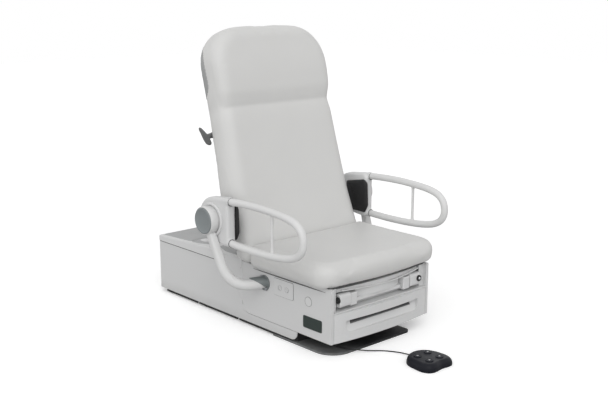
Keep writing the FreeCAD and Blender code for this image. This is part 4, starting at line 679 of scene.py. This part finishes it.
def makeBackPad(look):
    # the padding and the head cover are one swelling form, so a core joins them before the remesh
    core = look["core"]
    low, high = np.array(core["low"]), np.array(core["high"])
    half, middle = (high - low) / 2, (high + low) / 2
    plan = roundedPlan(half[0], half[1], half[1] * core["round"], core["steps"]) + middle[:2]
    levels = [np.full(len(plan), level) for level in (low[2], high[2])]
    filler = gridMesh("core", np.stack([backSpots(plan[:, 0], plan[:, 1], level, look) for level in levels]))
    piece = joined("backPad", [mergedCopy("back_cushion", "pad"), mergedCopy("roll_cover", "cover"), filler])
    stuff(piece, look)
    spots, normals = readVectors(piece.data), readVectors(piece.data, "normal")
    along, forward = backPlaces(spots, look)
    spots = spots + normals * backSwells(along, forward, look)[:, None]
    # the crease draws the sides in as well
    crease = look["crease"]
    near = hump(along - crease["along"], crease["pullWidths"] * crease["wide"])
    spots[:, 0] -= np.sign(spots[:, 0]) * (np.abs(normals[:, 0]) * near * crease["pull"])
    # both lower corners reach back past the seat's end
    tail = look["tail"]
    along, forward = backPlaces(spots, look)
    reach = rising(-along, -tail["from"], -tail["to"])
    reach *= rising(-forward, -tail["behind"], tail["soft"] - tail["behind"])
    reach *= rising(np.abs(spots[:, 0]), tail["inner"], tail["outer"]) * tail["reach"]
    spots[:, 1] += reach
    # the skirts stay outside the base
    skirt, wide = look["skirt"], np.abs(spots[:, 0])
    hanging = (forward < skirt["behind"]) & (along < skirt["reach"])
    hanging &= wide > skirt["inner"] - skirt["margin"]
    spots[:, 0] = np.sign(spots[:, 0]) * np.where(hanging, np.maximum(wide, skirt["inner"]), wide)
    writePoints(piece.data, spots)
    standFor(piece, "back_cushion")
    print("back pad:", len(piece.data.vertices), "points")
    return piece


headCover = {
    "edge": [(0.700, -0.095), (0.712, -0.078), (0.727, -0.064), (0.745, -0.054), (0.767, -0.0485),
             (0.800, -0.0485), (0.840, -0.051), (0.875, -0.055), (0.905, -0.064), (0.930, -0.080),
             (0.945, -0.092), (1.030, -0.093)],
    "low": 0.700, "thick": 0.0022, "proud": 0.0010, "snap": 0.0026, "fill": 0.9,
}


def wholeFaces(mesh, inside):
    # for each face, whether all its corners lie inside
    corners = np.empty(len(mesh.loops), dtype=np.int64)
    mesh.loops.foreach_get("vertex_index", corners)
    starts = np.empty(len(mesh.polygons), dtype=np.int64)
    mesh.polygons.foreach_get("loop_start", starts)
    return np.add.reduceat(inside[corners].astype(int), starts) == np.diff(np.r_[starts, len(corners)])


def makeHeadCover(pad, look):
    # the pad's own skin behind the cover's edge line, drawn to that line, raised and given a thickness
    mesh = pad.data.copy()
    mesh.name = "headCover"
    spots = readVectors(mesh)
    along, forward = backPlaces(spots, backPad)
    edgeAlong, edgeForward = np.array(look["edge"]).T
    short = np.interp(along, edgeAlong, edgeForward) - forward
    onHead = along > look["low"]
    forward = np.where((np.abs(short) < look["snap"]) & onHead, forward + short, forward)
    writePoints(mesh, backSpots(spots[:, 0], along, forward, backPad))
    keep = wholeFaces(mesh, (short >= -look["snap"]) & onHead)
    work = bmesh.new()
    work.from_mesh(mesh)
    work.faces.ensure_lookup_table()
    bmesh.ops.delete(work, geom=[face for face, kept in zip(work.faces, keep) if not kept], context="FACES")
    work.to_mesh(mesh)
    work.free()
    piece = linked("headCover", mesh)
    writePoints(mesh, readVectors(mesh) + readVectors(mesh, "normal") * look["proud"])
    walled(piece, look["thick"], offset=-1)
    piece.data.shade_smooth()
    standFor(piece, "roll_cover")
    print("head cover:", len(piece.data.vertices), "points")


makeSeatPad(seatPad)
makeHeadCover(makeBackPad(backPad), headCover)

armLook = {
    "line": [(-0.4703, -0.0403, 0.4541), (-0.446, -0.1345, 0.2175), (-0.302, -0.1964, 0.2309)], "cut": 0.116,
    # half thickness and squareness along the length
    "taper": [(0, 0.0176, 0.45), (0.16, 0.0180, 0.5), (0.40, 0.0217, 0.85), (0.56, 0.0230, 1.0),
              (1, 0.0235, 1.0)],
    "hub": (-0.448, -0.020, 0.509),
    "ring": [(0, 0.001), (0.0575, 0.001), (0.062, 0.005), (0.062, 0.0445), (0.0612, 0.0472), (0.0596, 0.048),
             (0.0583, 0.0474), (0.0580, 0.033), (0, 0.033)],
    "step": [(0.0626, -0.0012), (0.0752, -0.0012), (0.0757, 0.0004), (0.0757, 0.0034), (0.0743, 0.0060),
             (0.0715, 0.0073), (0.0640, 0.0075), (0.0626, 0.0066)],
}
capLook = {
    "profile": [(0, 0.0405), (0.0560, 0.0405), (0.0572, 0.0420), (0.0572, 0.0498), (0.0562, 0.0514),
                (0.0545, 0.0520), (0.0520, 0.0516), (0.0495, 0.0500), (0.0440, 0.0482), (0.0330, 0.0462),
                (0.0200, 0.0448), (0.0070, 0.0441), (0, 0.0440)],
}


def aroundHub(profile, side):
    # a profile turned round the hub's axis
    return turned(profile, armLook["hub"], outwards, sides=72) * mirrored[side]


def makeArm(side, look):
    # a tube that widens downwards, its hub, and the step round the hub on the housing
    line = evenLine(eased(look["line"], look["cut"], steps=24), count=72)
    share, thick, square = np.array(look["taper"]).T
    radius, power = (np.interp(np.linspace(0, 1, len(line)), share, column) for column in (thick, square))
    tube = gridMesh("tube", carried(line, radius, radius, alongY, sides=40, power=power) * mirrored[side])
    hub = gridMesh("hub", aroundHub(look["ring"], side), capped=False)
    standFor(joined("assistArm" + side.capitalize(), [tube, hub]), "assist_arm_" + side)
    step = gridMesh("hubStep" + side.capitalize(), aroundHub(look["step"], side), looped=True)
    goWith(step, "rail_housing_" + side, "mouldedCover")


def makeCap(side, look):
    # a dished cap with a rolled rim, turned round the hub's axis
    cap = gridMesh("hubCap" + side.capitalize(), aroundHub(look["profile"], side), capped=False)
    standFor(cap, "hub_cap_" + side)


railLook = {
    "x": -0.430, "radius": 0.0160, "barY": -0.403, "barFoot": 0.419,
    "loop": [(-0.114, 0.601), (-0.180, 0.605), (-0.262, 0.6075), (-0.350, 0.6065), (-0.440, 0.601),
             (-0.505, 0.593), (-0.553, 0.578), (-0.583, 0.552), (-0.594, 0.518), (-0.590, 0.485),
             (-0.572, 0.459), (-0.540, 0.440), (-0.495, 0.428), (-0.430, 0.420), (-0.350, 0.4155),
             (-0.258, 0.4145), (-0.180, 0.4165), (-0.114, 0.419)],
    "bar": [(0.0100, 0.000), (0.0082, 0.014), (0.0068, 0.020), (0.0062, 0.030), (0.0062, 0.153),
            (0.0068, 0.163), (0.0082, 0.169), (0.0100, 0.183)],
    "mouth": -0.1355,
    "lip": [(0.0162, 0), (0.0178, 0), (0.0180, 0.0006), (0.0178, 0.0012), (0.0162, 0.0012)],
}


def makeRail(side, look):
    # a tube round the bowed loop and a bar that flares into it, with a dark lip where each run leaves the
    # housing
    sign = mirrored[side]
    path = flowing(look["loop"], steps=8)
    line = np.c_[np.full(len(path), look["x"]), path]
    tube = gridMesh("tube", carried(line, look["radius"], look["radius"], alongX, sides=32) * sign)
    foot = (look["x"], look["barY"], look["barFoot"])
    bar = gridMesh("bar", turned(look["bar"], foot, alongZ, sides=24) * sign)
    standFor(joined("assistRail" + side.capitalize(), [tube, bar]), "assist_rail_" + side)
    mouths = [(look["x"], look["mouth"], z) for z in (look["loop"][0][1], look["loop"][-1][1])]
    lips = [gridMesh("lip", turned(look["lip"], mouth, alongY, sides=40) * sign, looped=True)
            for mouth in mouths]
    goWith(joined("railLips" + side.capitalize(), lips), "rail_housing_" + side, "sealBlack")


padLook = {
    "outline": [(0.000, 0.5665), (-0.118, 0.5880), (-0.1395, 0.5700), (-0.1450, 0.4620), (-0.1245, 0.4250),
                (-0.001, 0.4285)],
    "cut": 0.0075, "middle": (-0.070, 0.507), "x": -0.4000, "points": 96,
    # inset from the rim and height towards the sitter: a rolled rim, a bevelled border and a crowned field
    "section": [(0, 0), (0, 0.0050), (0.0008, 0.0072), (0.0026, 0.0085), (0.0120, 0.0108), (0.0140, 0.0110),
                (0.0180, 0.0108), (0.0300, 0.0114), (0.0480, 0.0120)],
    "fill": 1.0,
}


def makeRailPad(side, look):
    # the outline with eased corners, drawn in and raised row by row as the section says
    outline = np.array(look["outline"])
    closed = np.vstack([outline[-1:], outline, outline[:2]])
    plan = evenLine(eased(closed, look["cut"], steps=7)[1:-1], look["points"] + 1)[:-1] - look["middle"]
    insets, heights = np.array(look["section"]).T
    flat = scaledPlans(plan, insets, look["middle"])
    x = np.broadcast_to((look["x"] + heights)[:, None, None], flat[..., :1].shape)
    piece = gridMesh("railPad" + side.capitalize(), np.concatenate([x, flat], -1) * mirrored[side])
    standFor(piece, "rail_pad_" + side)


bracketLook = {
    "foot": (-0.300, -0.1978, 0.2312), "along": (-0.811, 0.576, -0.098), "plane": (0, 0.168, 0.986),
    "flange": 0.0345, "thick": 0.0055, "edge": 0.0018,
    # the saddle bends round the tube by spread degrees each way; from the crown to its sides its length falls
    # from long towards the share least, as the cosine of bendShare of the bend, to the power
    "saddle": {"radius": 0.0285, "wall": 0.0030, "long": 0.066, "back": 0.018, "spread": 118, "least": 0.10,
               "bendShare": 0.76, "power": 1.6},
    "bolts": [(0.0140, 0.0245), (-0.0140, -0.0245)],
    "bolt": [(0, 0), (0.0062, 0), (0.0066, 0.0010), (0.0058, 0.0030), (0.0036, 0.0042), (0, 0.0046)],
    "washer": [(0.0075, 0), (0.0088, 0.0002), (0.0088, 0.0012), (0.0070, 0.0016)],
}


def saddleSpots(foot, along, plane, look):
    # an open half tube: its front end is cut back along a curve, longest on the crown
    up = unit(np.array(plane) - along * np.dot(plane, along))
    across = np.cross(along, up)
    bend = np.radians(np.linspace(-look["spread"], look["spread"], 40))
    rim = np.cos(bend)[:, None] * up + np.sin(bend)[:, None] * across
    fall = np.clip(np.cos(bend * look["bendShare"]), 0, 1) ** look["power"]
    reach = look["long"] * (look["least"] + (1 - look["least"]) * fall)
    back = np.full(len(bend), -look["back"])
    rows = np.linspace(0, 1, 14)[:, None]
    return foot + along * (back + rows * (reach - back))[..., None] + rim[None] * look["radius"]


def makeBracket(side, look):
    # a round flange on the wall, a saddle over the upper half of the tube's end, and two domed bolts
    sign = mirrored[side]
    foot, along = np.array(look["foot"]), unit(np.array(look["along"]))
    ring = np.linspace(0, 2 * np.pi, 56, endpoint=False)
    plan = np.c_[np.cos(ring), np.sin(ring)] * look["flange"]
    spots = slab(plan, foot, alongY, alongZ, outwards, look["thick"], look["edge"])
    flange = gridMesh("flange", spots * sign)
    spots = saddleSpots(foot, along, look["plane"], look["saddle"])
    saddle = gridMesh("saddle", spots * sign, capped=False, ringed=False)
    walled(saddle, look["saddle"]["wall"])
    tidyMesh(saddle.data)
    standFor(joined("armBracket" + side.capitalize(), [flange, saddle]), "arm_bracket_" + side)
    bolts = []
    for y, z in look["bolts"]:
        seat = foot + (-look["thick"], y, z)
        bolts.append(gridMesh("bolt", turned(look["bolt"], seat, outwards, sides=24) * sign, capped=False))
        bolts.append(gridMesh("washer", turned(look["washer"], seat, outwards, sides=24) * sign, looped=True))
    goWith(joined("bracketBolts" + side.capitalize(), bolts), "arm_bracket_" + side, "zincSteel")


leverLook = {
    # centre, half width along the back's side and half thickness
    "paddle": [(-0.3835, 0.1450, 0.8840, 0.0050, 0.0030), (-0.3815, 0.1450, 0.8825, 0.0095, 0.0045),
               (-0.3735, 0.1450, 0.8720, 0.0140, 0.0065), (-0.3600, 0.1452, 0.8540, 0.0175, 0.0090),
               (-0.3470, 0.1455, 0.8330, 0.0190, 0.0110), (-0.3370, 0.1455, 0.8160, 0.0180, 0.0100),
               (-0.3325, 0.1455, 0.8070, 0.0140, 0.0070), (-0.3310, 0.1455, 0.8035, 0.0070, 0.0030)],
    # centre and half width
    "stem": [(-0.3115, 0.1435, 0.8470, 0.0165), (-0.3250, 0.1437, 0.8450, 0.0150),
             (-0.3400, 0.1440, 0.8430, 0.0155), (-0.3500, 0.1446, 0.8400, 0.0165)],
    "stemFlat": 0.75, "square": 0.8,
}


def makeLever(side, look):
    # a curved paddle, thickest below its middle, on a short stem that is flatter than wide
    square = look["square"]
    line = flowing(look["paddle"], steps=6)
    spots = carried(line[:, :3], line[:, 3], line[:, 4], alongY, sides=32, power=square)
    paddle = gridMesh("paddle", spots * mirrored[side])
    line = flowing(look["stem"], steps=5)
    spots = carried(line[:, :3], line[:, 3], line[:, 3] * look["stemFlat"], alongY, sides=28, power=square)
    stem = gridMesh("stem", spots * mirrored[side])
    standFor(joined("releaseLever" + side.capitalize(), [paddle, stem]), "release_lever_" + side)


mouldLook = {
    "rail_housing": {"name": "railHousing", "voxel": 0.0026, "ease": 5},
    "foot_cup": {"name": "footCup", "voxel": 0.0018, "ease": 16},
}


def makeMoulded(side, stem, look):
    # the node's own form with every edge rounded
    piece = mergedCopy(stem + "_" + side, look["name"] + side.capitalize())
    evened(piece, look["voxel"], look["ease"])
    standFor(piece, stem + "_" + side)


for side in mirrored:
    makeArm(side, armLook)
    makeCap(side, capLook)
    makeRail(side, railLook)
    makeRailPad(side, padLook)
    makeBracket(side, bracketLook)
    for stem, look in mouldLook.items():
        makeMoulded(side, stem, look)
    makeLever(side, leverLook)
print("arms, rails and levers made")

knobLook = {
    "right": {"seat": (0.234, -0.620, 0.239), "outward": (0, -1, 0), "finish": "polishedSteel"},
    "left": {"seat": (-0.247, -0.607, 0.239), "outward": (-1, 0, 0), "finish": "sealBlack"},
    "ring": [(0.0066, 0.0050), (0.0078, 0.0068), (0.0105, 0.0071), (0.0130, 0.0062), (0.0140, 0.0044),
             (0.0140, 0.0016), (0.0132, 0.0003), (0.0080, 0.0003)],
    "ball": 0.0068, "ballAt": 0.0042,
}


def makeKnob(side, look):
    # a rounded ring with a bright or dark ball in its mouth; the ball's profile is a half circle
    seat, outward, finish = (look[side][key] for key in ("seat", "outward", "finish"))
    spots = turned(look["ring"], seat, outward, sides=40)
    standFor(gridMesh("clampKnob" + side.capitalize(), spots, looped=True), "clamp_knob_" + side)
    bend = np.linspace(-np.pi / 2, np.pi / 2, 17)
    profile = np.c_[look["ball"] * np.cos(bend), look["ballAt"] + look["ball"] * np.sin(bend)]
    ball = gridMesh("knobBall" + side.capitalize(), turned(profile, seat, outward, sides=32), capped=False)
    goWith(ball, "clamp_knob_" + side, finish)


for side in mirrored:
    makeKnob(side, knobLook)

linerLook = {
    "half": 0.294, "step": 0.256, "stepSlant": 0.002, "front": -0.6015, "sideBack": -0.564, "bow": 0.012,
    "low": 0.1925, "high": 0.2620, "endHigh": 0.2900, "wall": 0.002, "endPoints": 5, "middlePoints": 41,
}


def makeRecessLiner(look):
    # a pale wall behind the leg extension and the stirrups: its plan bows forward in the middle and steps
    # forward at both ends to cover the ends of the frame
    end = np.linspace(look["half"], look["step"] + look["stepSlant"], look["endPoints"])
    innerHalf = look["step"] - look["stepSlant"]
    inner = np.linspace(innerHalf, -innerHalf, look["middlePoints"])
    across = np.r_[end, inner, -end[::-1]]
    deep = look["sideBack"] - look["bow"] * (1 - (inner / look["step"]) ** 2)
    front, endHigh = (np.full(len(end), look[key]) for key in ("front", "endHigh"))
    plan = np.r_[front, deep, front]
    top = np.r_[endHigh, np.full(len(inner), look["high"]), endHigh]
    height = look["low"] + np.linspace(0, 1, 6)[:, None] * (top - look["low"])
    spots = np.stack(np.broadcast_arrays(across[None], plan[None], height), -1)
    piece = gridMesh("recessLiner", spots, capped=False, ringed=False)
    walled(piece, look["wall"])
    piece.data.shade_flat()
    goWith(piece, "chassis_shell", "mouldedCover")


wingLook = {
    # the wing's rear edge: y, z
    "edge": [(-0.0700, 0.0660), (-0.0543, 0.0866), (-0.0211, 0.1321), (0.0075, 0.1666), (0.0436, 0.2011),
             (0.0728, 0.2279), (0.1000, 0.2598), (0.1080, 0.2850), (0.1100, 0.3040)],
    "front": -0.0420, "x": -0.3000, "proud": 0.0032, "clear": 0.0002, "ramp": 0.030, "thick": 0.0012,
    "tuck": 0.35, "tuckPower": 12,    # close to the rear edge the outer face falls back by this share
}


def makeWings(look):
    # thin cheeks that carry the box's sides back over the base: the outer face leaves the side flush and
    # eases out
    edge = flowing(look["edge"], steps=6)
    share = np.linspace(0, 1, 24)
    y = look["front"] + (edge[:, :1] - look["front"]) * share
    z = np.broadcast_to(edge[:, 1:], y.shape)
    rise = look["proud"] * rising(y - look["front"], 0, look["ramp"])
    out = rise * (1 - look["tuck"] * share ** look["tuckPower"])
    outer = np.stack([look["x"] - out - look["clear"], y, z], -1)
    inner = outer + (look["thick"], 0, 0)
    # outer and inner faces follow each other, so every row closes round the sheet's edge
    spots = np.concatenate([outer, inner[:, ::-1]], 1)
    for side, sign in mirrored.items():
        goWith(gridMesh("chassisCheek" + side.capitalize(), spots * sign), "chassis_shell", "shellEnamel")


drawerLook = {
    "half": 0.1855, "thick": 0.0008,
    # the painted shade sheet's section: the foot of the slot's slope, its floor and its rear wall
    "section": [(-0.6166, 0.1268), (-0.6140, 0.1322), (-0.6125, 0.1328), (-0.6062, 0.1328), (-0.6052, 0.1340),
                (-0.6052, 0.1492)],
}


def makeSlotShade(look):
    # a dark sheet of painted shade bent round the drawer's finger slot, where the deep slot lies in shade
    section = evenLine(np.array(look["section"]), count=30)
    across = np.linspace(-look["half"], look["half"], 40)
    spots = np.stack(np.broadcast_arrays(across[None], section[:, :1], section[:, 1:]), -1)
    piece = gridMesh("slotLiner", spots, capped=False, ringed=False)
    walled(piece, look["thick"])
    goWith(piece, "drawer_front", "boardPaint")


lipLook = {
    "line": [(-0.236, 0.2815), (-0.208, 0.2765), (-0.060, 0.2640), (0.020, 0.2612), (0.097, 0.2632),
             (0.190, 0.2740), (0.236, 0.2840)],
    "y": -0.6125, "across": 0.0042, "up": 0.0030,
}


def makeLip(look):
    # the sagging front edge of the leg extension's tray
    line = flowing(look["line"], steps=10)
    line = np.c_[line[:, 0], np.full(len(line), look["y"]), line[:, 1]]
    lip = gridMesh("extensionLip", carried(line, look["across"], look["up"], alongY, sides=20))
    goWith(lip, "leg_extension", "mouldedCover")


sealAndShadowLook = {
    "lid": {"corners": [(-0.3008, -0.030, 0.2606), (-0.3008, 0.6214, 0.2606), (0.3008, 0.6214, 0.2606),
                        (0.3008, -0.030, 0.2606)], "cut": 0.006, "wide": 0.0011, "high": 0.0016},
    "skirt": {"x": -0.2935, "runs": [(-0.262, -0.010), (0.006, 0.300), (0.316, 0.572)], "z": 0.0128,
              "wide": 0.0042, "high": 0.0062, "square": 0.5},
    "outlet": {"centre": (-0.3002, -0.325, 0.232), "half": (0.0638, 0.0388), "corner": 0.0072,
               "thick": 0.0010, "edge": 0.0002},
    "plug": {"centre": (-0.3001, -0.482, 0.214),
             "ring": [(0.0196, 0), (0.0214, 0), (0.0214, 0.0008), (0.0196, 0.0010)]},
    "sockets": {"y": (-0.347, -0.303), "z": 0.232, "x": -0.3026,
                "ring": [(0.0112, 0), (0.0120, 0), (0.0120, 0.0004), (0.0112, 0.0004)]},
    # painted shadow under the cushion's overhang: a dark strip along each side of the box
    "gap": {"x": -0.3004, "run": (-0.585, -0.120), "z": 0.2785, "high": 0.0030, "wide": 0.0009,
            "endBend": 0.05, "square": 0.8},
}


def sideLine(x, run, z, count):
    # even points from front to rear at one height
    return np.stack([np.full(count, x), np.linspace(*run, count), np.full(count, z)], 1)


def makeSealsAndShadow(look):
    # dark joint lines under the lid, along the foot of the base and round the fittings on the side, and a
    # painted shadow under the cushion's overhang: a dark strip that thins to both ends as the root of a half
    # wave
    lid, skirt, outlet, plug, sockets, gap = look.values()
    line = evenLine(eased(lid["corners"], lid["cut"], steps=6), count=160)
    seal = gridMesh("lidSeal", carried(line, lid["high"], lid["wide"], alongZ, sides=10))
    goWith(seal, "base_shroud", "sealBlack")
    strips = []
    for sign in (1, -1):
        for run in skirt["runs"]:
            line = sideLine(skirt["x"] * sign, run, skirt["z"], count=12)
            spots = carried(line, skirt["high"], skirt["wide"], alongZ, sides=20, power=skirt["square"])
            strips.append(gridMesh("strip", spots))
    goWith(joined("skirtStrips", strips), "base_shroud", "sealBlack")
    plan = roundedPlan(*outlet["half"], outlet["corner"])
    around = slab(plan, outlet["centre"], alongY, alongZ, outwards, outlet["thick"], outlet["edge"])
    rims = [gridMesh("rim", around),
            gridMesh("rim", turned(plug["ring"], plug["centre"], outwards, sides=48), looped=True)]
    for y in sockets["y"]:
        ring = turned(sockets["ring"], (sockets["x"], y, sockets["z"]), outwards, sides=40)
        rims.append(gridMesh("rim", ring, looped=True))
    goWith(joined("fittingRims", rims), "chassis_shell", "sealGrey")
    # the painted shadow strips under the cushion
    ends = np.sin(np.linspace(gap["endBend"], np.pi - gap["endBend"], 16)) ** 0.5
    high, wide = gap["high"] * ends, gap["wide"] * ends
    strips = []
    for sign in (1, -1):
        line = sideLine(gap["x"] * sign, gap["run"], gap["z"], count=len(ends))
        strips.append(gridMesh("strip", carried(line, high, wide, alongZ, sides=16, power=gap["square"])))
    goWith(joined("cushionGapStrips", strips), "chassis_shell", "boardPaint")


plateLook = {
    "centre": (-0.3000, -0.508, 0.123), "half": (0.0575, 0.0265), "corner": 0.0062,
    "thick": 0.0020, "edge": 0.0007,
}


def makePlate(look):
    # the bare badge plate with rounded corners and a softened rim
    plan = roundedPlan(*look["half"], look["corner"])
    spots = slab(plan, look["centre"], alongY, alongZ, outwards, look["thick"], look["edge"])
    standFor(gridMesh("barePlate", spots), "bare_plate")


lidLook = {
    "mats": [{"half": (0.286, 0.116), "corner": 0.014, "middle": (0, 0.492)},
             {"half": (0.0560, 0.174), "corner": 0.008, "middle": (-0.2300, 0.196)},
             {"half": (0.0560, 0.174), "corner": 0.008, "middle": (0.2300, 0.196)}],
    # a shade sheet's rows from the lid up: shares of the thickness and of the plan
    "thick": 0.0014, "rows": [(-0.3, 1), (0.6, 1), (1, 0.994), (1, 0.5)],
    "front": 0.309, "slope": -0.0470, "flat": 0.217,    # the lid's top falls rearwards from y = flat on
    "boss": {"x": -0.226, "y": 0.330, "half": (0.024, 0.036), "rise": 0.008, "sink": 0.0005},
}


def lidHeight(y, look):
    # the lid's sloped top
    return look["front"] + look["slope"] * np.maximum(y - look["flat"], 0)


def makeLidPieces(look):
    # thin sheets of painted shade that follow the lid and darken its top, and low oval bosses, a quarter
    # ellipse in section
    tall, inward = np.array(look["rows"]).T
    mats = []
    for mat in look["mats"]:
        plan = roundedPlan(*mat["half"], mat["corner"])
        flat = plan[None] * inward[:, None, None] + mat["middle"]
        height = lidHeight(flat[..., 1], look) + (tall * look["thick"])[:, None]
        mats.append(gridMesh("mat", np.concatenate([flat, height[..., None]], -1)))
    goWith(joined("lidMat", mats), "rear_lid", "lidMatGrey")
    boss = look["boss"]
    bend = np.linspace(0, np.pi / 2, 9)[:, None]
    turn = np.linspace(0, 2 * np.pi, 40, endpoint=False)[None]
    y = boss["y"] + boss["half"][1] * np.cos(bend) * np.sin(turn)
    z = lidHeight(y, look) + boss["rise"] * np.sin(bend) - boss["sink"]
    bosses = []
    for sign in (1, -1):
        x = boss["x"] * sign + boss["half"][0] * np.cos(bend) * np.cos(turn)
        bosses.append(gridMesh("boss", np.stack([x, y, z], -1)))
    goWith(joined("lidBosses", bosses), "rear_lid", "mouldedCover")


markLook = {
    "names": ("seat_up", "seat_down", "back_up", "back_down"),
    "centre": (-0.042, -0.923), "ring": 0.044, "top": 0.0370,
    "arrow": [(0.0, -0.5), (0.85, -0.5), (0.0, 0.95), (-0.85, -0.5), (0.0, -0.5)],    # in sizes
    "size": 0.0058, "cut": 0.0011, "thick": 0.0005, "edge": 0.0001,
}


def makeMarks(look):
    # a plain arrow on each button, up towards the chair and down away from it
    plan = eased(np.array(look["arrow"]) * look["size"], look["cut"], steps=5)[:-1]
    for step, name in enumerate(look["names"]):
        bend = math.pi / 4 + step * math.pi / 2
        x = look["centre"][0] + look["ring"] * math.cos(bend)
        y = look["centre"][1] + look["ring"] * math.sin(bend)
        way = 1 if name.endswith("up") else -1
        seat = (x, y, look["top"])
        spots = slab(plan * (1, way), seat, alongX, alongY, alongZ, look["thick"], look["edge"])
        goWith(gridMesh("arrow" + name.title().replace("_", ""), spots), "pedal_" + name, "markInk")


makeRecessLiner(linerLook)
makeSlotShade(drawerLook)
makeWings(wingLook)
makePlate(plateLook)
makeLip(lipLook)
makeSealsAndShadow(sealAndShadowLook)
makeLidPieces(lidLook)
makeMarks(markLook)
print("small pieces made")

room = {
    "size": 30.0, "floorColour": (1.0, 1.0, 1.0), "bounceColour": (0.58, 0.58, 0.58), "floorGlow": 0.22,
    "worldLight": 0.59, "frontLight": 1.22, "frontTowards": (-0.72, -0.60, 0.28), "frontPower": 3.0,
    "sunLight": 0.40, "sunTurn": (44, 0, -38), "sunSoft": 35,
}


def makeFloor(look):
    # the camera sees a white floor with a little glow, and light that bounces finds a greyer one
    half = look["size"] / 2
    mesh = bpy.data.meshes.new("studioFloor")
    corners = [(-half, -half, 0), (half, -half, 0), (half, half, 0), (-half, half, 0)]
    mesh.from_pydata(corners, [], [(0, 1, 2, 3)])
    floor = linked("studioFloor", mesh)
    material = bpy.data.materials.new("studioFloor")
    material.use_nodes = True
    tree = material.node_tree
    tree.nodes.clear()
    path = addNode(tree, "LightPath")
    bounce = addNode(tree, "BsdfDiffuse", {"Color": (*look["bounceColour"], 1)})
    white = addNode(tree, "BsdfDiffuse", {"Color": (*look["floorColour"], 1)})
    glow = addNode(tree, "Emission", {"Strength": look["floorGlow"]})
    seen = addNode(tree, "AddShader")
    mix = addNode(tree, "MixShader")
    output = addNode(tree, "OutputMaterial")
    wire(tree, (white, 0, seen, 0), (glow, 0, seen, 1), (path, "Is Camera Ray", mix, "Fac"),
         (bounce, 0, mix, 1), (seen, 0, mix, 2), (mix, 0, output, "Surface"))
    mesh.materials.append(material)


def makeSky(look):
    # an even dome that is brighter around one direction, as dome + front light x (cosine to that direction)
    # ^ power; the camera, glossy and transmitted rays see plain white
    world = bpy.data.worlds.new("studioWorld")
    scene.world = world
    world.use_nodes = True
    tree = world.node_tree
    tree.nodes.clear()
    path = addNode(tree, "LightPath")
    place = addNode(tree, "TexCoord")
    front = Vector(look["frontTowards"]).normalized()
    towards = addNode(tree, "VectorMath", {1: front}, operation="DOT_PRODUCT")
    ahead = addNode(tree, "Math", {1: 0}, operation="MAXIMUM")
    bright = addNode(tree, "Math", {1: look["frontPower"]}, operation="POWER")
    light = addNode(tree, "Math", {1: look["frontLight"], 2: look["worldLight"]}, operation="MULTIPLY_ADD")
    seen = addNode(tree, "Math", operation="MAXIMUM")
    more = addNode(tree, "Math", operation="MAXIMUM")
    dome = addNode(tree, "Background", {"Color": (1, 1, 1, 1)})
    white = addNode(tree, "Background", {"Color": (1, 1, 1, 1), "Strength": 1.0})
    mix = addNode(tree, "MixShader")
    output = addNode(tree, "OutputWorld")
    wire(tree, (place, "Generated", towards, 0), (towards, "Value", ahead, 0), (ahead, 0, bright, 0),
         (bright, 0, light, 0), (light, 0, dome, "Strength"), (path, "Is Camera Ray", seen, 0),
         (path, "Is Glossy Ray", seen, 1), (seen, 0, more, 0), (path, "Is Transmission Ray", more, 1),
         (more, 0, mix, "Fac"), (dome, 0, mix, 1), (white, 0, mix, 2), (mix, 0, output, "Surface"))
    sun = linked("softKey", bpy.data.lights.new("softKey", "SUN"))
    sun.data.energy = look["sunLight"]
    sun.data.angle = math.radians(look["sunSoft"])
    sun.rotation_euler = [math.radians(angle) for angle in look["sunTurn"]]
    scene.view_settings.view_transform = "Standard"


makeFloor(room)
makeSky(room)
print("room lit")
